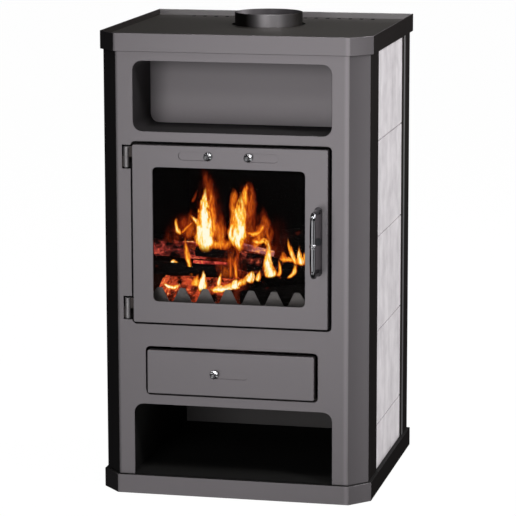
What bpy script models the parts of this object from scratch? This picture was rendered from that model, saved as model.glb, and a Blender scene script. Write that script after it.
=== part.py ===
"""Free-standing steel wood stove with stone tile sides, built from its separate pieces.

The stove stands on z = 0 and faces -Y. The origin is under the middle of its whole box,
which reaches from the handle's grip in front to the rim behind. Sizes are in metres.
"""

import math

import bmesh
import bpy
from mathutils import Vector

# Casing, in plan
WIDTH = 0.575
DEPTH = 0.529
CORNER_CUT_X = 0.040
CORNER_CUT_Y = 0.0435
CASING_INSET = 0.006
SHEET = 0.002
LINER = 0.0015
CONTACT = 0.0003
CUT_PAST = 0.010

# Front openings, from the floor up
PLINTH_HEIGHT = 0.040
WOOD_OPENING_HEIGHT = 0.1531
DRAWER_ABOVE_WOOD = 0.0262
DRAWER_HEIGHT = 0.0927
DOOR_ABOVE_DRAWER = 0.058
DOOR_HEIGHT = 0.3733
NICHE_ABOVE_DOOR = 0.0262
NICHE_HEIGHT = 0.1456
TOP_BAND = 0.0574

# Front openings, from the sides of the stove inwards
NICHE_BAND = 0.0788
WOOD_BAND = 0.0765
DOOR_BAND_LEFT = 0.0787
DOOR_BAND_RIGHT = 0.0837
DRAWER_BAND_LEFT = 0.1075
DRAWER_BAND_RIGHT = 0.112
OPENING_CORNER = 0.019

# Plinth, rim and top plate
PLINTH_FLANGE = 0.020
RIM_HEIGHT = 0.038
RIM_UPSTAND = 0.012
VENT_WIDTH = 0.0085
VENT_LENGTH = 0.018
VENT_PITCH = 0.0252
VENT_COUNT = 17
VENT_ROW_FROM_REAR = 0.0225

# Sides
FRONT_POST = 0.138
REAR_POST = 0.093
POST_LIP = 0.001
POST_RETURN = 0.030
TILE_HEIGHT = 0.200
TILE_THICKNESS = 0.008
TILE_JOINT = 0.0025
TILE_TOP_GAP = 0.014
TILE_EDGE_ROUND = 0.001
SIDE_PANEL_FRONT_GAP = 0.050

# Back panel louvres
LOUVRE_LENGTH = 0.060
LOUVRE_HEIGHT = 0.008
LOUVRE_PITCH = 0.085
LOUVRE_COUNT = 5
LOUVRE_FROM_EDGE = 0.070

# Niches
NICHE_DEPTH = 0.145
WOOD_NICHE_REAR_GAP = 0.044
WOOD_NICHE_SIDE_GAP = 0.006
WOOD_CEILING_RISE = 0.004

# Firebox and flue
FIREBOX_WALL = 0.003
FIREBOX_SIDE_AIR = 0.040
FIREBOX_REAR_AIR = 0.039
FIREBOX_ABOVE_DRAWER = 0.0104
FIREBOX_BELOW_NICHE = 0.008
FUEL_LIP = 0.045
FUEL_TOP_MARGIN = 0.033
HEARTH_THICKNESS = 0.030
BRICK_THICKNESS = 0.025
BRICK_FRONT_GAP = 0.015
BAFFLE_THICKNESS = 0.015
BAFFLE_TOP_GAP = 0.038
BAFFLE_FRONT_GAP = 0.090
GRATE_WIDTH = 0.200
GRATE_DEPTH = 0.150
GRATE_THICKNESS = 0.012
GRATE_LEDGE = 0.008
GRATE_SLOT = 0.008
GRATE_SLOT_COUNT = 8
GUARD_THICKNESS = 0.002
GUARD_TEETH = 7
GUARD_PITCH = 0.0489
GUARD_SHIFT = -0.010
GUARD_CREST = 0.010
GUARD_CREST_CHAMFER = 0.002
GUARD_VALLEY = 0.015
GUARD_TOOTH_HEIGHT = 0.030
GUARD_RISE = 0.038
HOOD_WIDTH = 0.260
HOOD_NICHE_GAP = 0.091
HOOD_BELOW_TOP = 0.031
FLUE_RADIUS = 0.073
FLUE_WALL = 0.002
FLUE_RISE = 0.0265
FLUE_PLATE_CLEARANCE = 0.0065
FLUE_FLANGE = 0.012

# Door
DOOR_GAP = 0.0052
DOOR_PROUD = 0.011
DOOR_DEPTH = 0.027
DOOR_CORNER = 0.004
EDGE_ROUND = 0.0015
WINDOW_LEFT = 0.0433
WINDOW_RIGHT = 0.0478
WINDOW_BOTTOM = 0.0456
WINDOW_TOP = 0.0456
WINDOW_CORNER = 0.010
GASKET_THICKNESS = 0.002
GLASS_THICKNESS = 0.004
GLASS_LAP = 0.009
GLASS_FRAME_WIDTH = 0.008
ROPE_WIDTH = 0.008
ROPE_THICKNESS = 0.006

# Hinges
HINGE_RADIUS = 0.006
HINGE_LENGTH = 0.043
HINGE_FROM_DOOR = 0.0144
HINGE_INSET = 0.0275
HINGE_PLAY = 0.0004
HINGE_NOTCH_GAP = 0.003
PIN_RADIUS = 0.003
PIN_CLEARANCE = 0.0001
LEAF_LENGTH = 0.018
LEAF_THICKNESS = 0.003

# Air slides of the door and the ash drawer
SLOT_HEIGHT = 0.018
SLOT_LENGTH = 0.072
SLOT_FROM_TOP = 0.0208
SLOT_OFFSET = 0.0693
DRAWER_SLOT_LENGTH = 0.080
SLIDE_LAP = 0.004
SLIDE_PLAY = 0.0005
KNOB_RADIUS = 0.0092
KNOB_TIP_RADIUS = 0.0062
KNOB_LENGTH = 0.017
KNOB_STAND = 0.003
KNOB_NECK_RADIUS = 0.0045

# Handle and latch
HANDLE_FROM_EDGE = 0.0202
HANDLE_BELOW_MIDDLE = 0.0025
HANDLE_SPAN = 0.128
HANDLE_STANDOFF = 0.058
HANDLE_RADIUS = 0.0052
HANDLE_SWELL = 0.0007
HANDLE_BEAD_RADIUS = 0.0068
HANDLE_BEND = 0.014
HANDLE_PLATE_WIDTH = 0.0155
HANDLE_PLATE_THICKNESS = 0.002
SPINDLE_RADIUS = 0.004
SPINDLE_CLEARANCE = 0.0003
SPINDLE_SIDE_GAP = 0.003
SPINDLE_HEAD_HEIGHT = 0.0025
TONGUE_LENGTH = 0.020
TONGUE_WIDTH = 0.012
TONGUE_THICKNESS = 0.004

# Ash drawer
DRAWER_DEPTH = 0.020
DRAWER_FLANGE = 0.010
ASH_PAN_LENGTH = 0.330
ASH_PAN_HEIGHT = 0.065
ASH_PAN_MARGIN = 0.014
ASH_PAN_PLAY = 0.002

# Heights worked out from the stack above
WOOD_TOP = PLINTH_HEIGHT + WOOD_OPENING_HEIGHT
DRAWER_BOTTOM = WOOD_TOP + DRAWER_ABOVE_WOOD
DRAWER_TOP = DRAWER_BOTTOM + DRAWER_HEIGHT
DOOR_BOTTOM = DRAWER_TOP + DOOR_ABOVE_DRAWER
DOOR_TOP = DOOR_BOTTOM + DOOR_HEIGHT
NICHE_BOTTOM = DOOR_TOP + NICHE_ABOVE_DOOR
NICHE_TOP = NICHE_BOTTOM + NICHE_HEIGHT
HEIGHT = NICHE_TOP + TOP_BAND
TOP_PLATE_TOP = HEIGHT - RIM_UPSTAND
TOP_PLATE_BOTTOM = TOP_PLATE_TOP - SHEET
CASING_BOTTOM = PLINTH_HEIGHT + CONTACT
CASING_TOP = TOP_PLATE_BOTTOM - CONTACT

# Planes across the depth, worked out from the rim's front
HANDLE_REACH = HANDLE_STANDOFF + HANDLE_BEAD_RADIUS + DOOR_PROUD - CASING_INSET
Y_FRONT = (HANDLE_REACH - DEPTH) / 2
Y_REAR = Y_FRONT + DEPTH
Y_PANEL = Y_FRONT + CASING_INSET
Y_BEHIND_PANEL = Y_PANEL + SHEET + CONTACT
Y_DOOR = Y_PANEL - DOOR_PROUD
Y_SEAL = Y_DOOR + DOOR_DEPTH + CONTACT
Y_FIREBOX = Y_SEAL + ROPE_THICKNESS + CONTACT
Y_INSIDE = Y_FIREBOX + FIREBOX_WALL
Y_BACK_PANEL = Y_REAR - CASING_INSET - SHEET - CONTACT - LINER

# Places across the width
SIDE = WIDTH / 2 - CASING_INSET
TILE_OUTER = SIDE - SHEET - CONTACT
SIDE_PANEL_OUTER = TILE_OUTER - TILE_THICKNESS - CONTACT
SIDE_PANEL_INNER = SIDE_PANEL_OUTER - LINER
DOOR_LEFT = -WIDTH / 2 + DOOR_BAND_LEFT
DOOR_RIGHT = WIDTH / 2 - DOOR_BAND_RIGHT
DRAWER_LEFT = -WIDTH / 2 + DRAWER_BAND_LEFT
DRAWER_RIGHT = WIDTH / 2 - DRAWER_BAND_RIGHT
WINDOW = (DOOR_LEFT + WINDOW_LEFT, DOOR_RIGHT - WINDOW_RIGHT,
          DOOR_BOTTOM + WINDOW_BOTTOM, DOOR_TOP - WINDOW_TOP)
WINDOW_MIDDLE = (WINDOW[0] + WINDOW[1]) / 2
HINGE_X = DOOR_LEFT - HINGE_FROM_DOOR
HINGE_HEIGHTS = {"upper": DOOR_TOP - HINGE_INSET, "lower": DOOR_BOTTOM + HINGE_INSET}
HANDLE_X = DOOR_RIGHT - HANDLE_FROM_EDGE
HANDLE_Z = (DOOR_BOTTOM + DOOR_TOP) / 2 - HANDLE_BELOW_MIDDLE
DOOR_FLANGE = HANDLE_FROM_EDGE - SPINDLE_RADIUS - SPINDLE_SIDE_GAP - SHEET

# Firebox box, outside
FIREBOX_X = SIDE_PANEL_INNER - FIREBOX_SIDE_AIR
FIREBOX_REAR = Y_BACK_PANEL - FIREBOX_REAR_AIR
FIREBOX_BOTTOM = DRAWER_TOP + FIREBOX_ABOVE_DRAWER
FIREBOX_TOP = NICHE_BOTTOM - LINER - FIREBOX_BELOW_NICHE
HEARTH_TOP = FIREBOX_BOTTOM + FIREBOX_WALL + CONTACT + HEARTH_THICKNESS
FUEL_BOTTOM = HEARTH_TOP + FUEL_LIP
FUEL_TOP = DOOR_TOP - FUEL_TOP_MARGIN
BAFFLE_TOP = FIREBOX_TOP - FIREBOX_WALL - BAFFLE_TOP_GAP
BAFFLE_BOTTOM = BAFFLE_TOP - BAFFLE_THICKNESS
BRICK_FRONT = Y_INSIDE + BRICK_FRONT_GAP
BRICK_REAR = FIREBOX_REAR - FIREBOX_WALL - CONTACT
BRICK_SIDE = FIREBOX_X - FIREBOX_WALL - CONTACT

# Smoke hood and flue
HOOD_FRONT = Y_PANEL + NICHE_DEPTH + LINER + HOOD_NICHE_GAP
HOOD_TOP = TOP_PLATE_BOTTOM - HOOD_BELOW_TOP
FLUE_Y = (HOOD_FRONT + FIREBOX_REAR) / 2
GRATE_Y = (BRICK_FRONT + BRICK_REAR) / 2

AXES = {"X": (1, 2, 0), "Y": (0, 2, 1), "Z": (0, 1, 2)}
ROUND_SEGMENTS = 32
SMALL_SEGMENTS = 16

FINISHES = {
    "paint_graphite": ((0.135, 0.125, 0.130), 0.45, 0.6),
    "paint_black": ((0.018, 0.016, 0.015), 0.45, 0.3),
    "stone_tile": ((0.58, 0.55, 0.565), 0.55, 0.0),
    "chrome": ((0.75, 0.75, 0.76), 0.12, 1.0),
    "black_steel": ((0.02, 0.02, 0.02), 0.6, 0.4),
    "cast_iron": ((0.03, 0.03, 0.032), 0.65, 0.5),
    "firebrick": ((0.45, 0.36, 0.26), 0.9, 0.0),
    "ceramic_glass": ((0.05, 0.04, 0.035), 0.05, 0.0),
    "seal_rope": ((0.10, 0.10, 0.10), 0.95, 0.0),
    "galvanised": ((0.35, 0.36, 0.37), 0.5, 0.8),
}


def finish(name):
    """Principled material of one finish, made once."""
    if name in bpy.data.materials:
        return bpy.data.materials[name]
    colour, roughness, metallic = FINISHES[name]
    material = bpy.data.materials.new(name)
    material.use_nodes = True
    shader = material.node_tree.nodes["Principled BSDF"]
    shader.inputs["Base Color"].default_value = (*colour, 1.0)
    shader.inputs["Roughness"].default_value = roughness
    shader.inputs["Metallic"].default_value = metallic
    return material


def rectangle(low_u, high_u, low_v, high_v):
    """Outline of a plain rectangle."""
    return [(low_u, low_v), (high_u, low_v), (high_u, high_v), (low_u, high_v)]


def rounded(low_u, high_u, low_v, high_v, radius, steps=4, square_bottom=False):
    """Outline of a rectangle whose corners are arcs; the lower two can stay square."""
    outline = []
    corners = [
        (high_u - radius, high_v - radius, 0.0), (low_u + radius, high_v - radius, 0.5),
        (low_u + radius, low_v + radius, 1.0), (high_u - radius, low_v + radius, 1.5),
    ]
    for number, (u, v, start) in enumerate(corners):
        if square_bottom and number >= 2:
            outline.append((low_u if number == 2 else high_u, low_v))
            continue
        for step in range(steps + 1):
            angle = math.pi * (start + 0.5 * step / steps)
            outline.append((u + radius * math.cos(angle), v + radius * math.sin(angle)))
    return outline


def stadium(low_u, high_u, centre_v, height, steps=6):
    """Outline of a slot with round ends."""
    return rounded(low_u, high_u, centre_v - height / 2, centre_v + height / 2,
                   height / 2 - CONTACT / 10, steps)


def casing_outline(inset):
    """Plan of the casing: a rectangle with its two front corners cut, moved in by inset."""
    length = math.hypot(CORNER_CUT_X, CORNER_CUT_Y)
    flat = WIDTH / 2 - CORNER_CUT_X - inset * (length - CORNER_CUT_X) / CORNER_CUT_Y
    turn = Y_FRONT + CORNER_CUT_Y + inset * (length - CORNER_CUT_Y) / CORNER_CUT_X
    side = WIDTH / 2 - inset
    front = Y_FRONT + inset
    rear = Y_REAR - inset
    return [(-side, turn), (-flat, front), (flat, front), (side, turn), (side, rear), (-side, rear)]


def prism(outline, axis, low, high):
    """Closed prism: an outline across the axis, carried from low to high along it."""
    first, second, along = AXES[axis]
    bm = bmesh.new()
    rings = []
    for level in (low, high):
        ring = []
        for u, v in outline:
            point = [0.0, 0.0, 0.0]
            point[first], point[second], point[along] = u, v, level
            ring.append(bm.verts.new(point))
        rings.append(ring)
    bm.faces.new(rings[0])
    bm.faces.new(rings[1])
    for index in range(len(outline)):
        following = (index + 1) % len(outline)
        bm.faces.new((rings[0][index], rings[0][following], rings[1][following], rings[1][index]))
    bmesh.ops.recalc_face_normals(bm, faces=bm.faces)
    return bm


def block(x, y, z):
    """Box between its low and high sides, each given as a pair."""
    return prism(rectangle(x[0], x[1], y[0], y[1]), "Z", z[0], z[1])


def turned(profile, axis, centre, segments=ROUND_SEGMENTS, ring=False):
    """Turned solid: (radius, place along the axis) points; a ring's profile closes on itself."""
    first, second, along = AXES[axis]
    bm = bmesh.new()
    rows = []
    for radius, level in profile:
        row = []
        for step in range(segments if radius > 0 else 1):
            angle = 2 * math.pi * step / segments
            point = list(centre)
            point[first] += radius * math.cos(angle)
            point[second] += radius * math.sin(angle)
            point[along] += level
            row.append(bm.verts.new(point))
        rows.append(row)
    pairs = list(zip(rows, rows[1:]))
    if ring:
        pairs.append((rows[-1], rows[0]))
    for lower, upper in pairs:
        for step in range(segments):
            corners = [lower[step % len(lower)], lower[(step + 1) % len(lower)],
                       upper[(step + 1) % len(upper)], upper[step % len(upper)]]
            bm.faces.new(list(dict.fromkeys(corners)))
    bmesh.ops.recalc_face_normals(bm, faces=bm.faces)
    return bm


def cylinder(axis, centre, radius, low, high, segments=ROUND_SEGMENTS):
    """Closed cylinder between two places along its axis, counted from its centre."""
    return turned([(0, low), (radius, low), (radius, high), (0, high)], axis, centre, segments)


def joined(shapes):
    """One mesh that holds several separate closed shapes, for use as a cutter."""
    total = bmesh.new()
    for shape in shapes:
        holder = bpy.data.meshes.new("holder")
        shape.to_mesh(holder)
        shape.free()
        total.from_mesh(holder)
        bpy.data.meshes.remove(holder)
    return total


def pivot(name, place, parent=None):
    """Empty on a joint's axis, which carries a moving body's pieces."""
    empty = bpy.data.objects.new(name, None)
    empty.empty_display_size = 0.02
    bpy.context.scene.collection.objects.link(empty)
    empty["place"] = place
    start = Vector(parent["place"]) if parent else Vector((0, 0, 0))
    empty.parent = parent
    empty.location = Vector(place) - start
    return empty


def piece(name, shape, finish_name, body=None, smooth=False):
    """Object made from a shape in stove coordinates, carried by its body's empty."""
    mesh = bpy.data.meshes.new(name)
    if body:
        bmesh.ops.translate(shape, verts=shape.verts, vec=-Vector(body["place"]))
    shape.to_mesh(mesh)
    shape.free()
    if smooth:
        mesh.shade_smooth()
        mesh.set_sharp_from_angle(angle=math.radians(35))
    mesh.materials.append(finish(finish_name))
    made = bpy.data.objects.new(name, mesh)
    made.parent = body
    bpy.context.scene.collection.objects.link(made)
    return made


def combine(made, operation, shapes):
    """Boolean modifier that cuts shapes out of a piece, or joins one to it."""
    mesh = bpy.data.meshes.new(made.name + "_tool")
    tool_shape = joined(shapes)
    tool_shape.to_mesh(mesh)
    tool_shape.free()
    tool = bpy.data.objects.new(made.name + "_tool", mesh)
    tool.hide_render = True
    tool.display_type = "WIRE"
    bpy.context.scene.collection.objects.link(tool)
    boolean = made.modifiers.new(operation.title(), "BOOLEAN")
    boolean.operation = operation
    boolean.solver = "EXACT"
    boolean.object = tool


def cut(made, *shapes):
    """Cut closed shapes out of a piece."""
    combine(made, "DIFFERENCE", shapes)


def fuse(made, *shapes):
    """Join closed shapes to a piece."""
    for shape in shapes:
        combine(made, "UNION", [shape])


def round_edges(made, width, angle=50, segments=2):
    """Bevel the edges of a piece that turn by more than an angle."""
    bevel = made.modifiers.new("Edges", "BEVEL")
    bevel.width = width
    bevel.segments = segments
    bevel.limit_method = "ANGLE"
    bevel.angle_limit = math.radians(angle)


def build_plinth_and_rim():
    """Folded base tray, the band round the top and the plate inside it."""
    plinth = piece("plinth", prism(casing_outline(0), "Z", 0, PLINTH_HEIGHT), "paint_black")
    cut(plinth, prism(casing_outline(SHEET), "Z", SHEET, PLINTH_HEIGHT - SHEET))
    cut(plinth, prism(casing_outline(SHEET + PLINTH_FLANGE), "Z", -CUT_PAST, SHEET + SHEET))

    low = HEIGHT - RIM_HEIGHT
    rim = piece("top_rim", prism(casing_outline(0), "Z", low, HEIGHT), "paint_black")
    cut(rim, prism(casing_outline(SHEET), "Z", low + SHEET, HEIGHT + CUT_PAST))
    cut(rim, prism(casing_outline(CASING_INSET - CONTACT), "Z", low - CUT_PAST, HEIGHT - RIM_UPSTAND))

    plate = piece("top_plate", prism(casing_outline(SHEET + CONTACT), "Z",
                                     TOP_PLATE_BOTTOM, TOP_PLATE_TOP), "paint_black")
    low, high = TOP_PLATE_BOTTOM - CUT_PAST, TOP_PLATE_TOP + CUT_PAST
    cut(plate, cylinder("Z", (0, FLUE_Y, 0), FLUE_RADIUS + FLUE_PLATE_CLEARANCE, low, high))
    rear = Y_REAR - VENT_ROW_FROM_REAR + VENT_LENGTH / 2
    row = []
    for number in range(VENT_COUNT):
        x = (number - (VENT_COUNT - 1) / 2) * VENT_PITCH
        vent = rounded(x - VENT_WIDTH / 2, x + VENT_WIDTH / 2, rear - VENT_LENGTH, rear,
                       VENT_WIDTH / 2 - CONTACT / 10)
        row.append(prism(vent, "Z", low, high))
    cut(plate, *row)


def hinge_span(where):
    """Lowest and highest point of a hinge."""
    middle = HINGE_HEIGHTS[where]
    return middle - HINGE_LENGTH / 2, middle + HINGE_LENGTH / 2


def build_front_panel():
    """Front sheet with its two slanted corners and the four openings."""
    outer = casing_outline(CASING_INSET)[:4]
    inner = casing_outline(CASING_INSET + SHEET)[:4]
    panel = piece("front_panel", prism(outer + inner[::-1], "Z", CASING_BOTTOM, CASING_TOP),
                  "paint_graphite")
    through = (Y_PANEL - CUT_PAST, Y_PANEL + SHEET + CUT_PAST)
    niche = WIDTH / 2 - NICHE_BAND
    wood = WIDTH / 2 - WOOD_BAND
    cut(panel,
        prism(rounded(-niche, niche, NICHE_BOTTOM, NICHE_TOP, OPENING_CORNER), "Y", *through),
        prism(rounded(-wood, wood, CASING_BOTTOM - CUT_PAST, WOOD_TOP, OPENING_CORNER,
                      square_bottom=True), "Y", *through),
        prism(rounded(DOOR_LEFT - DOOR_GAP, DOOR_RIGHT + DOOR_GAP, DOOR_BOTTOM - DOOR_GAP,
                      DOOR_TOP + DOOR_GAP, DOOR_CORNER + DOOR_GAP), "Y", *through),
        prism(rounded(DRAWER_LEFT - DOOR_GAP, DRAWER_RIGHT + DOOR_GAP, DRAWER_BOTTOM - DOOR_GAP,
                      DRAWER_TOP + DOOR_GAP, DOOR_CORNER + DOOR_GAP), "Y", *through))
    notches = []
    for where in HINGE_HEIGHTS:
        low, high = hinge_span(where)
        notches.append(block((HINGE_X - HINGE_RADIUS - HINGE_NOTCH_GAP, DOOR_LEFT), through,
                             (low - HINGE_NOTCH_GAP, high + HINGE_NOTCH_GAP)))
    cut(panel, *notches)


def tile_rows():
    """Bottom and top of each tile of a side, from the top tile down to the cut one."""
    rows = []
    top = TOP_PLATE_BOTTOM - TILE_TOP_GAP
    while top > CASING_BOTTOM + TILE_THICKNESS:
        bottom = max(top - TILE_HEIGHT, CASING_BOTTOM)
        rows.append((bottom, top))
        top = bottom - TILE_JOINT
    return rows[::-1]


def build_side(side, sign):
    """Posts, inner panel and tiles of one side; sign is -1 on the left and 1 on the right."""
    window_front = Y_FRONT + FRONT_POST
    window_rear = Y_REAR - REAR_POST
    fold = casing_outline(CASING_INSET + SHEET)[3][1] + CONTACT
    rear = Y_REAR - CASING_INSET
    groove = POST_LIP + CONTACT
    web = SIDE - SHEET
    leg = SIDE_PANEL_OUTER + CONTACT

    front_plan = [(SIDE, fold), (SIDE, window_front), (web, window_front),
                  (web, window_front - groove), (leg, window_front - groove),
                  (leg, window_front - groove - SHEET), (web, window_front - groove - SHEET),
                  (web, fold)]
    rear_plan = [(SIDE, window_rear), (SIDE, rear), (SIDE - POST_RETURN, rear),
                 (SIDE - POST_RETURN, rear - SHEET), (web, rear - SHEET),
                 (web, window_rear + groove + SHEET), (leg, window_rear + groove + SHEET),
                 (leg, window_rear + groove), (web, window_rear + groove), (web, window_rear)]
    for name, plan in (("front_post_", front_plan), ("rear_post_", rear_plan)):
        piece(name + side, prism([(sign * x, y) for x, y in plan], "Z", CASING_BOTTOM, CASING_TOP),
              "paint_black")

    across = sorted((sign * SIDE_PANEL_INNER, sign * SIDE_PANEL_OUTER))
    piece("side_panel_" + side,
          block(across, (Y_FRONT + SIDE_PANEL_FRONT_GAP, Y_BACK_PANEL - CONTACT),
                (CASING_BOTTOM, CASING_TOP)), "galvanised")

    across = sorted((sign * TILE_OUTER, sign * (TILE_OUTER - TILE_THICKNESS)))
    for number, (bottom, top) in enumerate(tile_rows(), start=1):
        tile = piece(f"tile_{side}_{number}",
                     block(across, (window_front - POST_LIP, window_rear + POST_LIP),
                           (bottom, top)), "stone_tile")
        round_edges(tile, TILE_EDGE_ROUND, segments=1)


def build_back_panel():
    """Rear sheet behind the posts' returns, with a row of louvres low down and high up."""
    half = SIDE - SHEET - CONTACT
    panel = piece("back_panel", block((-half, half), (Y_BACK_PANEL, Y_BACK_PANEL + LINER),
                                      (CASING_BOTTOM, CASING_TOP)), "galvanised")
    louvres = []
    for z in (CASING_BOTTOM + LOUVRE_FROM_EDGE, CASING_TOP - LOUVRE_FROM_EDGE):
        for number in range(LOUVRE_COUNT):
            x = (number - (LOUVRE_COUNT - 1) / 2) * LOUVRE_PITCH
            louvres.append(prism(stadium(x - LOUVRE_LENGTH / 2, x + LOUVRE_LENGTH / 2, z,
                                         LOUVRE_HEIGHT, 3),
                                 "Y", Y_BACK_PANEL - CUT_PAST, Y_BACK_PANEL + LINER + CUT_PAST))
    cut(panel, *louvres)


def build_niches():
    """Folded liners of the upper niche and of the wood store, each open in front."""
    niche = WIDTH / 2 - NICHE_BAND
    rear = Y_PANEL + NICHE_DEPTH
    liner = piece("niche_liner",
                  prism(rounded(-niche - LINER, niche + LINER, NICHE_BOTTOM - LINER,
                                NICHE_TOP + LINER, OPENING_CORNER + LINER),
                        "Y", Y_BEHIND_PANEL, rear + LINER), "paint_graphite")
    cut(liner, prism(rounded(-niche, niche, NICHE_BOTTOM, NICHE_TOP, OPENING_CORNER),
                     "Y", Y_BEHIND_PANEL - CUT_PAST, rear))

    wood = WIDTH / 2 - WOOD_BAND + WOOD_NICHE_SIDE_GAP
    ceiling = WOOD_TOP + WOOD_CEILING_RISE
    rear = Y_BACK_PANEL - WOOD_NICHE_REAR_GAP
    store = piece("wood_store_liner",
                  block((-wood - LINER, wood + LINER), (Y_BEHIND_PANEL, rear + LINER),
                        (CASING_BOTTOM, ceiling + LINER)), "black_steel")
    cut(store, block((-wood, wood), (Y_BEHIND_PANEL - CUT_PAST, rear),
                     (CASING_BOTTOM + LINER, ceiling)))


def fuel_opening():
    """Outline of the firebox's front opening, which clears the latch spindle."""
    inset = SHEET + DOOR_FLANGE - CONTACT
    return rounded(DOOR_LEFT + inset, DOOR_RIGHT - inset, FUEL_BOTTOM, FUEL_TOP, WINDOW_CORNER)


def build_firebox():
    """Firebox on its two side plates, its front plate, lining, baffle, grate and log guard."""
    shell = piece("firebox_shell", block((-FIREBOX_X, FIREBOX_X), (Y_INSIDE + CONTACT, FIREBOX_REAR),
                                         (CASING_BOTTOM, FIREBOX_TOP)), "black_steel")
    inner = FIREBOX_X - FIREBOX_WALL
    cut(shell, block((-inner, inner), (Y_FIREBOX, FIREBOX_REAR - FIREBOX_WALL),
                     (FIREBOX_BOTTOM + FIREBOX_WALL, FIREBOX_TOP - FIREBOX_WALL)))
    cut(shell, block((-inner, inner), (Y_FIREBOX, FIREBOX_REAR + CUT_PAST),
                     (CASING_BOTTOM - CUT_PAST, FIREBOX_BOTTOM)))
    front = piece("firebox_front", block((-FIREBOX_X, FIREBOX_X), (Y_FIREBOX, Y_INSIDE),
                                         (FIREBOX_BOTTOM, FIREBOX_TOP)), "black_steel")
    cut(front, prism(fuel_opening(), "Y", Y_FIREBOX - CUT_PAST, Y_INSIDE + CUT_PAST))
    ash_x = GRATE_WIDTH / 2 - GRATE_LEDGE
    ash_y = (GRATE_Y - GRATE_DEPTH / 2 + GRATE_LEDGE, GRATE_Y + GRATE_DEPTH / 2 - GRATE_LEDGE)
    cut(shell, block((-ash_x, ash_x), ash_y,
                     (FIREBOX_BOTTOM - CUT_PAST, FIREBOX_BOTTOM + CUT_PAST)))
    hood_x = HOOD_WIDTH / 2 - SHEET
    hood_y = (HOOD_FRONT + SHEET, FIREBOX_REAR - SHEET - FIREBOX_WALL)
    cut(shell, block((-hood_x, hood_x), hood_y,
                     (FIREBOX_TOP - CUT_PAST, FIREBOX_TOP + CUT_PAST)))

    floor = HEARTH_TOP - HEARTH_THICKNESS
    hearth = piece("hearth_slab", block((-BRICK_SIDE, BRICK_SIDE), (Y_INSIDE + CONTACT, BRICK_REAR),
                                        (floor, HEARTH_TOP)), "firebrick")
    cut(hearth, block((-ash_x, ash_x), ash_y, (floor - CUT_PAST, HEARTH_TOP + CUT_PAST)))
    seat_x = GRATE_WIDTH / 2
    seat_y = (GRATE_Y - GRATE_DEPTH / 2, GRATE_Y + GRATE_DEPTH / 2)
    cut(hearth, block((-seat_x, seat_x), seat_y,
                      (HEARTH_TOP - GRATE_THICKNESS, HEARTH_TOP + CUT_PAST)))

    grate_low = HEARTH_TOP - GRATE_THICKNESS + CONTACT
    grate = piece("grate", block((-seat_x + CONTACT, seat_x - CONTACT),
                                 (seat_y[0] + CONTACT, seat_y[1] - CONTACT),
                                 (grate_low, HEARTH_TOP)), "cast_iron")
    slots = []
    pitch = 2 * (ash_x - GRATE_LEDGE) / GRATE_SLOT_COUNT
    for number in range(GRATE_SLOT_COUNT):
        x = (number - (GRATE_SLOT_COUNT - 1) / 2) * pitch
        slots.append(block((x - GRATE_SLOT / 2, x + GRATE_SLOT / 2),
                           (ash_y[0] + GRATE_LEDGE, ash_y[1] - GRATE_LEDGE),
                           (grate_low - CUT_PAST, HEARTH_TOP + CUT_PAST)))
    cut(grate, *slots)

    heights = (HEARTH_TOP + CONTACT, BAFFLE_BOTTOM - CONTACT)
    inner_side = BRICK_SIDE - BRICK_THICKNESS
    back_front = BRICK_REAR - BRICK_THICKNESS
    for side, sign in (("left", -1), ("right", 1)):
        across = sorted((sign * inner_side, sign * BRICK_SIDE))
        piece("firebrick_" + side, block(across, (BRICK_FRONT, back_front - CONTACT), heights),
              "firebrick")
    piece("firebrick_back", block((-BRICK_SIDE, BRICK_SIDE), (back_front, BRICK_REAR), heights),
          "firebrick")
    piece("baffle_plate", block((-BRICK_SIDE, BRICK_SIDE),
                                (BRICK_FRONT + BAFFLE_FRONT_GAP, BRICK_REAR),
                                (BAFFLE_BOTTOM, BAFFLE_TOP)), "firebrick")
    build_log_guard()


def build_log_guard():
    """Toothed plate behind the sill: flat crests, slanted flanks and round valleys.

    The row of teeth stands a little left of the window's middle.
    """
    middle = WINDOW_MIDDLE + GUARD_SHIFT
    crest = FUEL_BOTTOM + GUARD_RISE
    shoulder = crest - GUARD_CREST_CHAMFER
    valley = crest - GUARD_TOOTH_HEIGHT
    radius = GUARD_VALLEY / 2
    start = middle - GUARD_TEETH * GUARD_PITCH / 2
    top = [(start, valley)]
    for tooth in range(GUARD_TEETH):
        x = start + (tooth + 0.5) * GUARD_PITCH
        wide = GUARD_CREST / 2 + GUARD_CREST_CHAMFER
        top += [(x - wide, shoulder), (x - GUARD_CREST / 2, crest),
                (x + GUARD_CREST / 2, crest), (x + wide, shoulder)]
        if tooth < GUARD_TEETH - 1:
            for step in range(5):
                angle = math.pi * (1 + step / 4)
                top.append((x + GUARD_PITCH / 2 + radius * math.cos(angle),
                            valley + radius + radius * math.sin(angle)))
    end = start + GUARD_TEETH * GUARD_PITCH
    top.append((end, valley))
    foot = HEARTH_TOP + CONTACT
    piece("log_guard", prism([(start, foot)] + top + [(end, foot)], "Y", Y_INSIDE + CONTACT,
                             Y_INSIDE + CONTACT + GUARD_THICKNESS), "paint_graphite")


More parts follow.
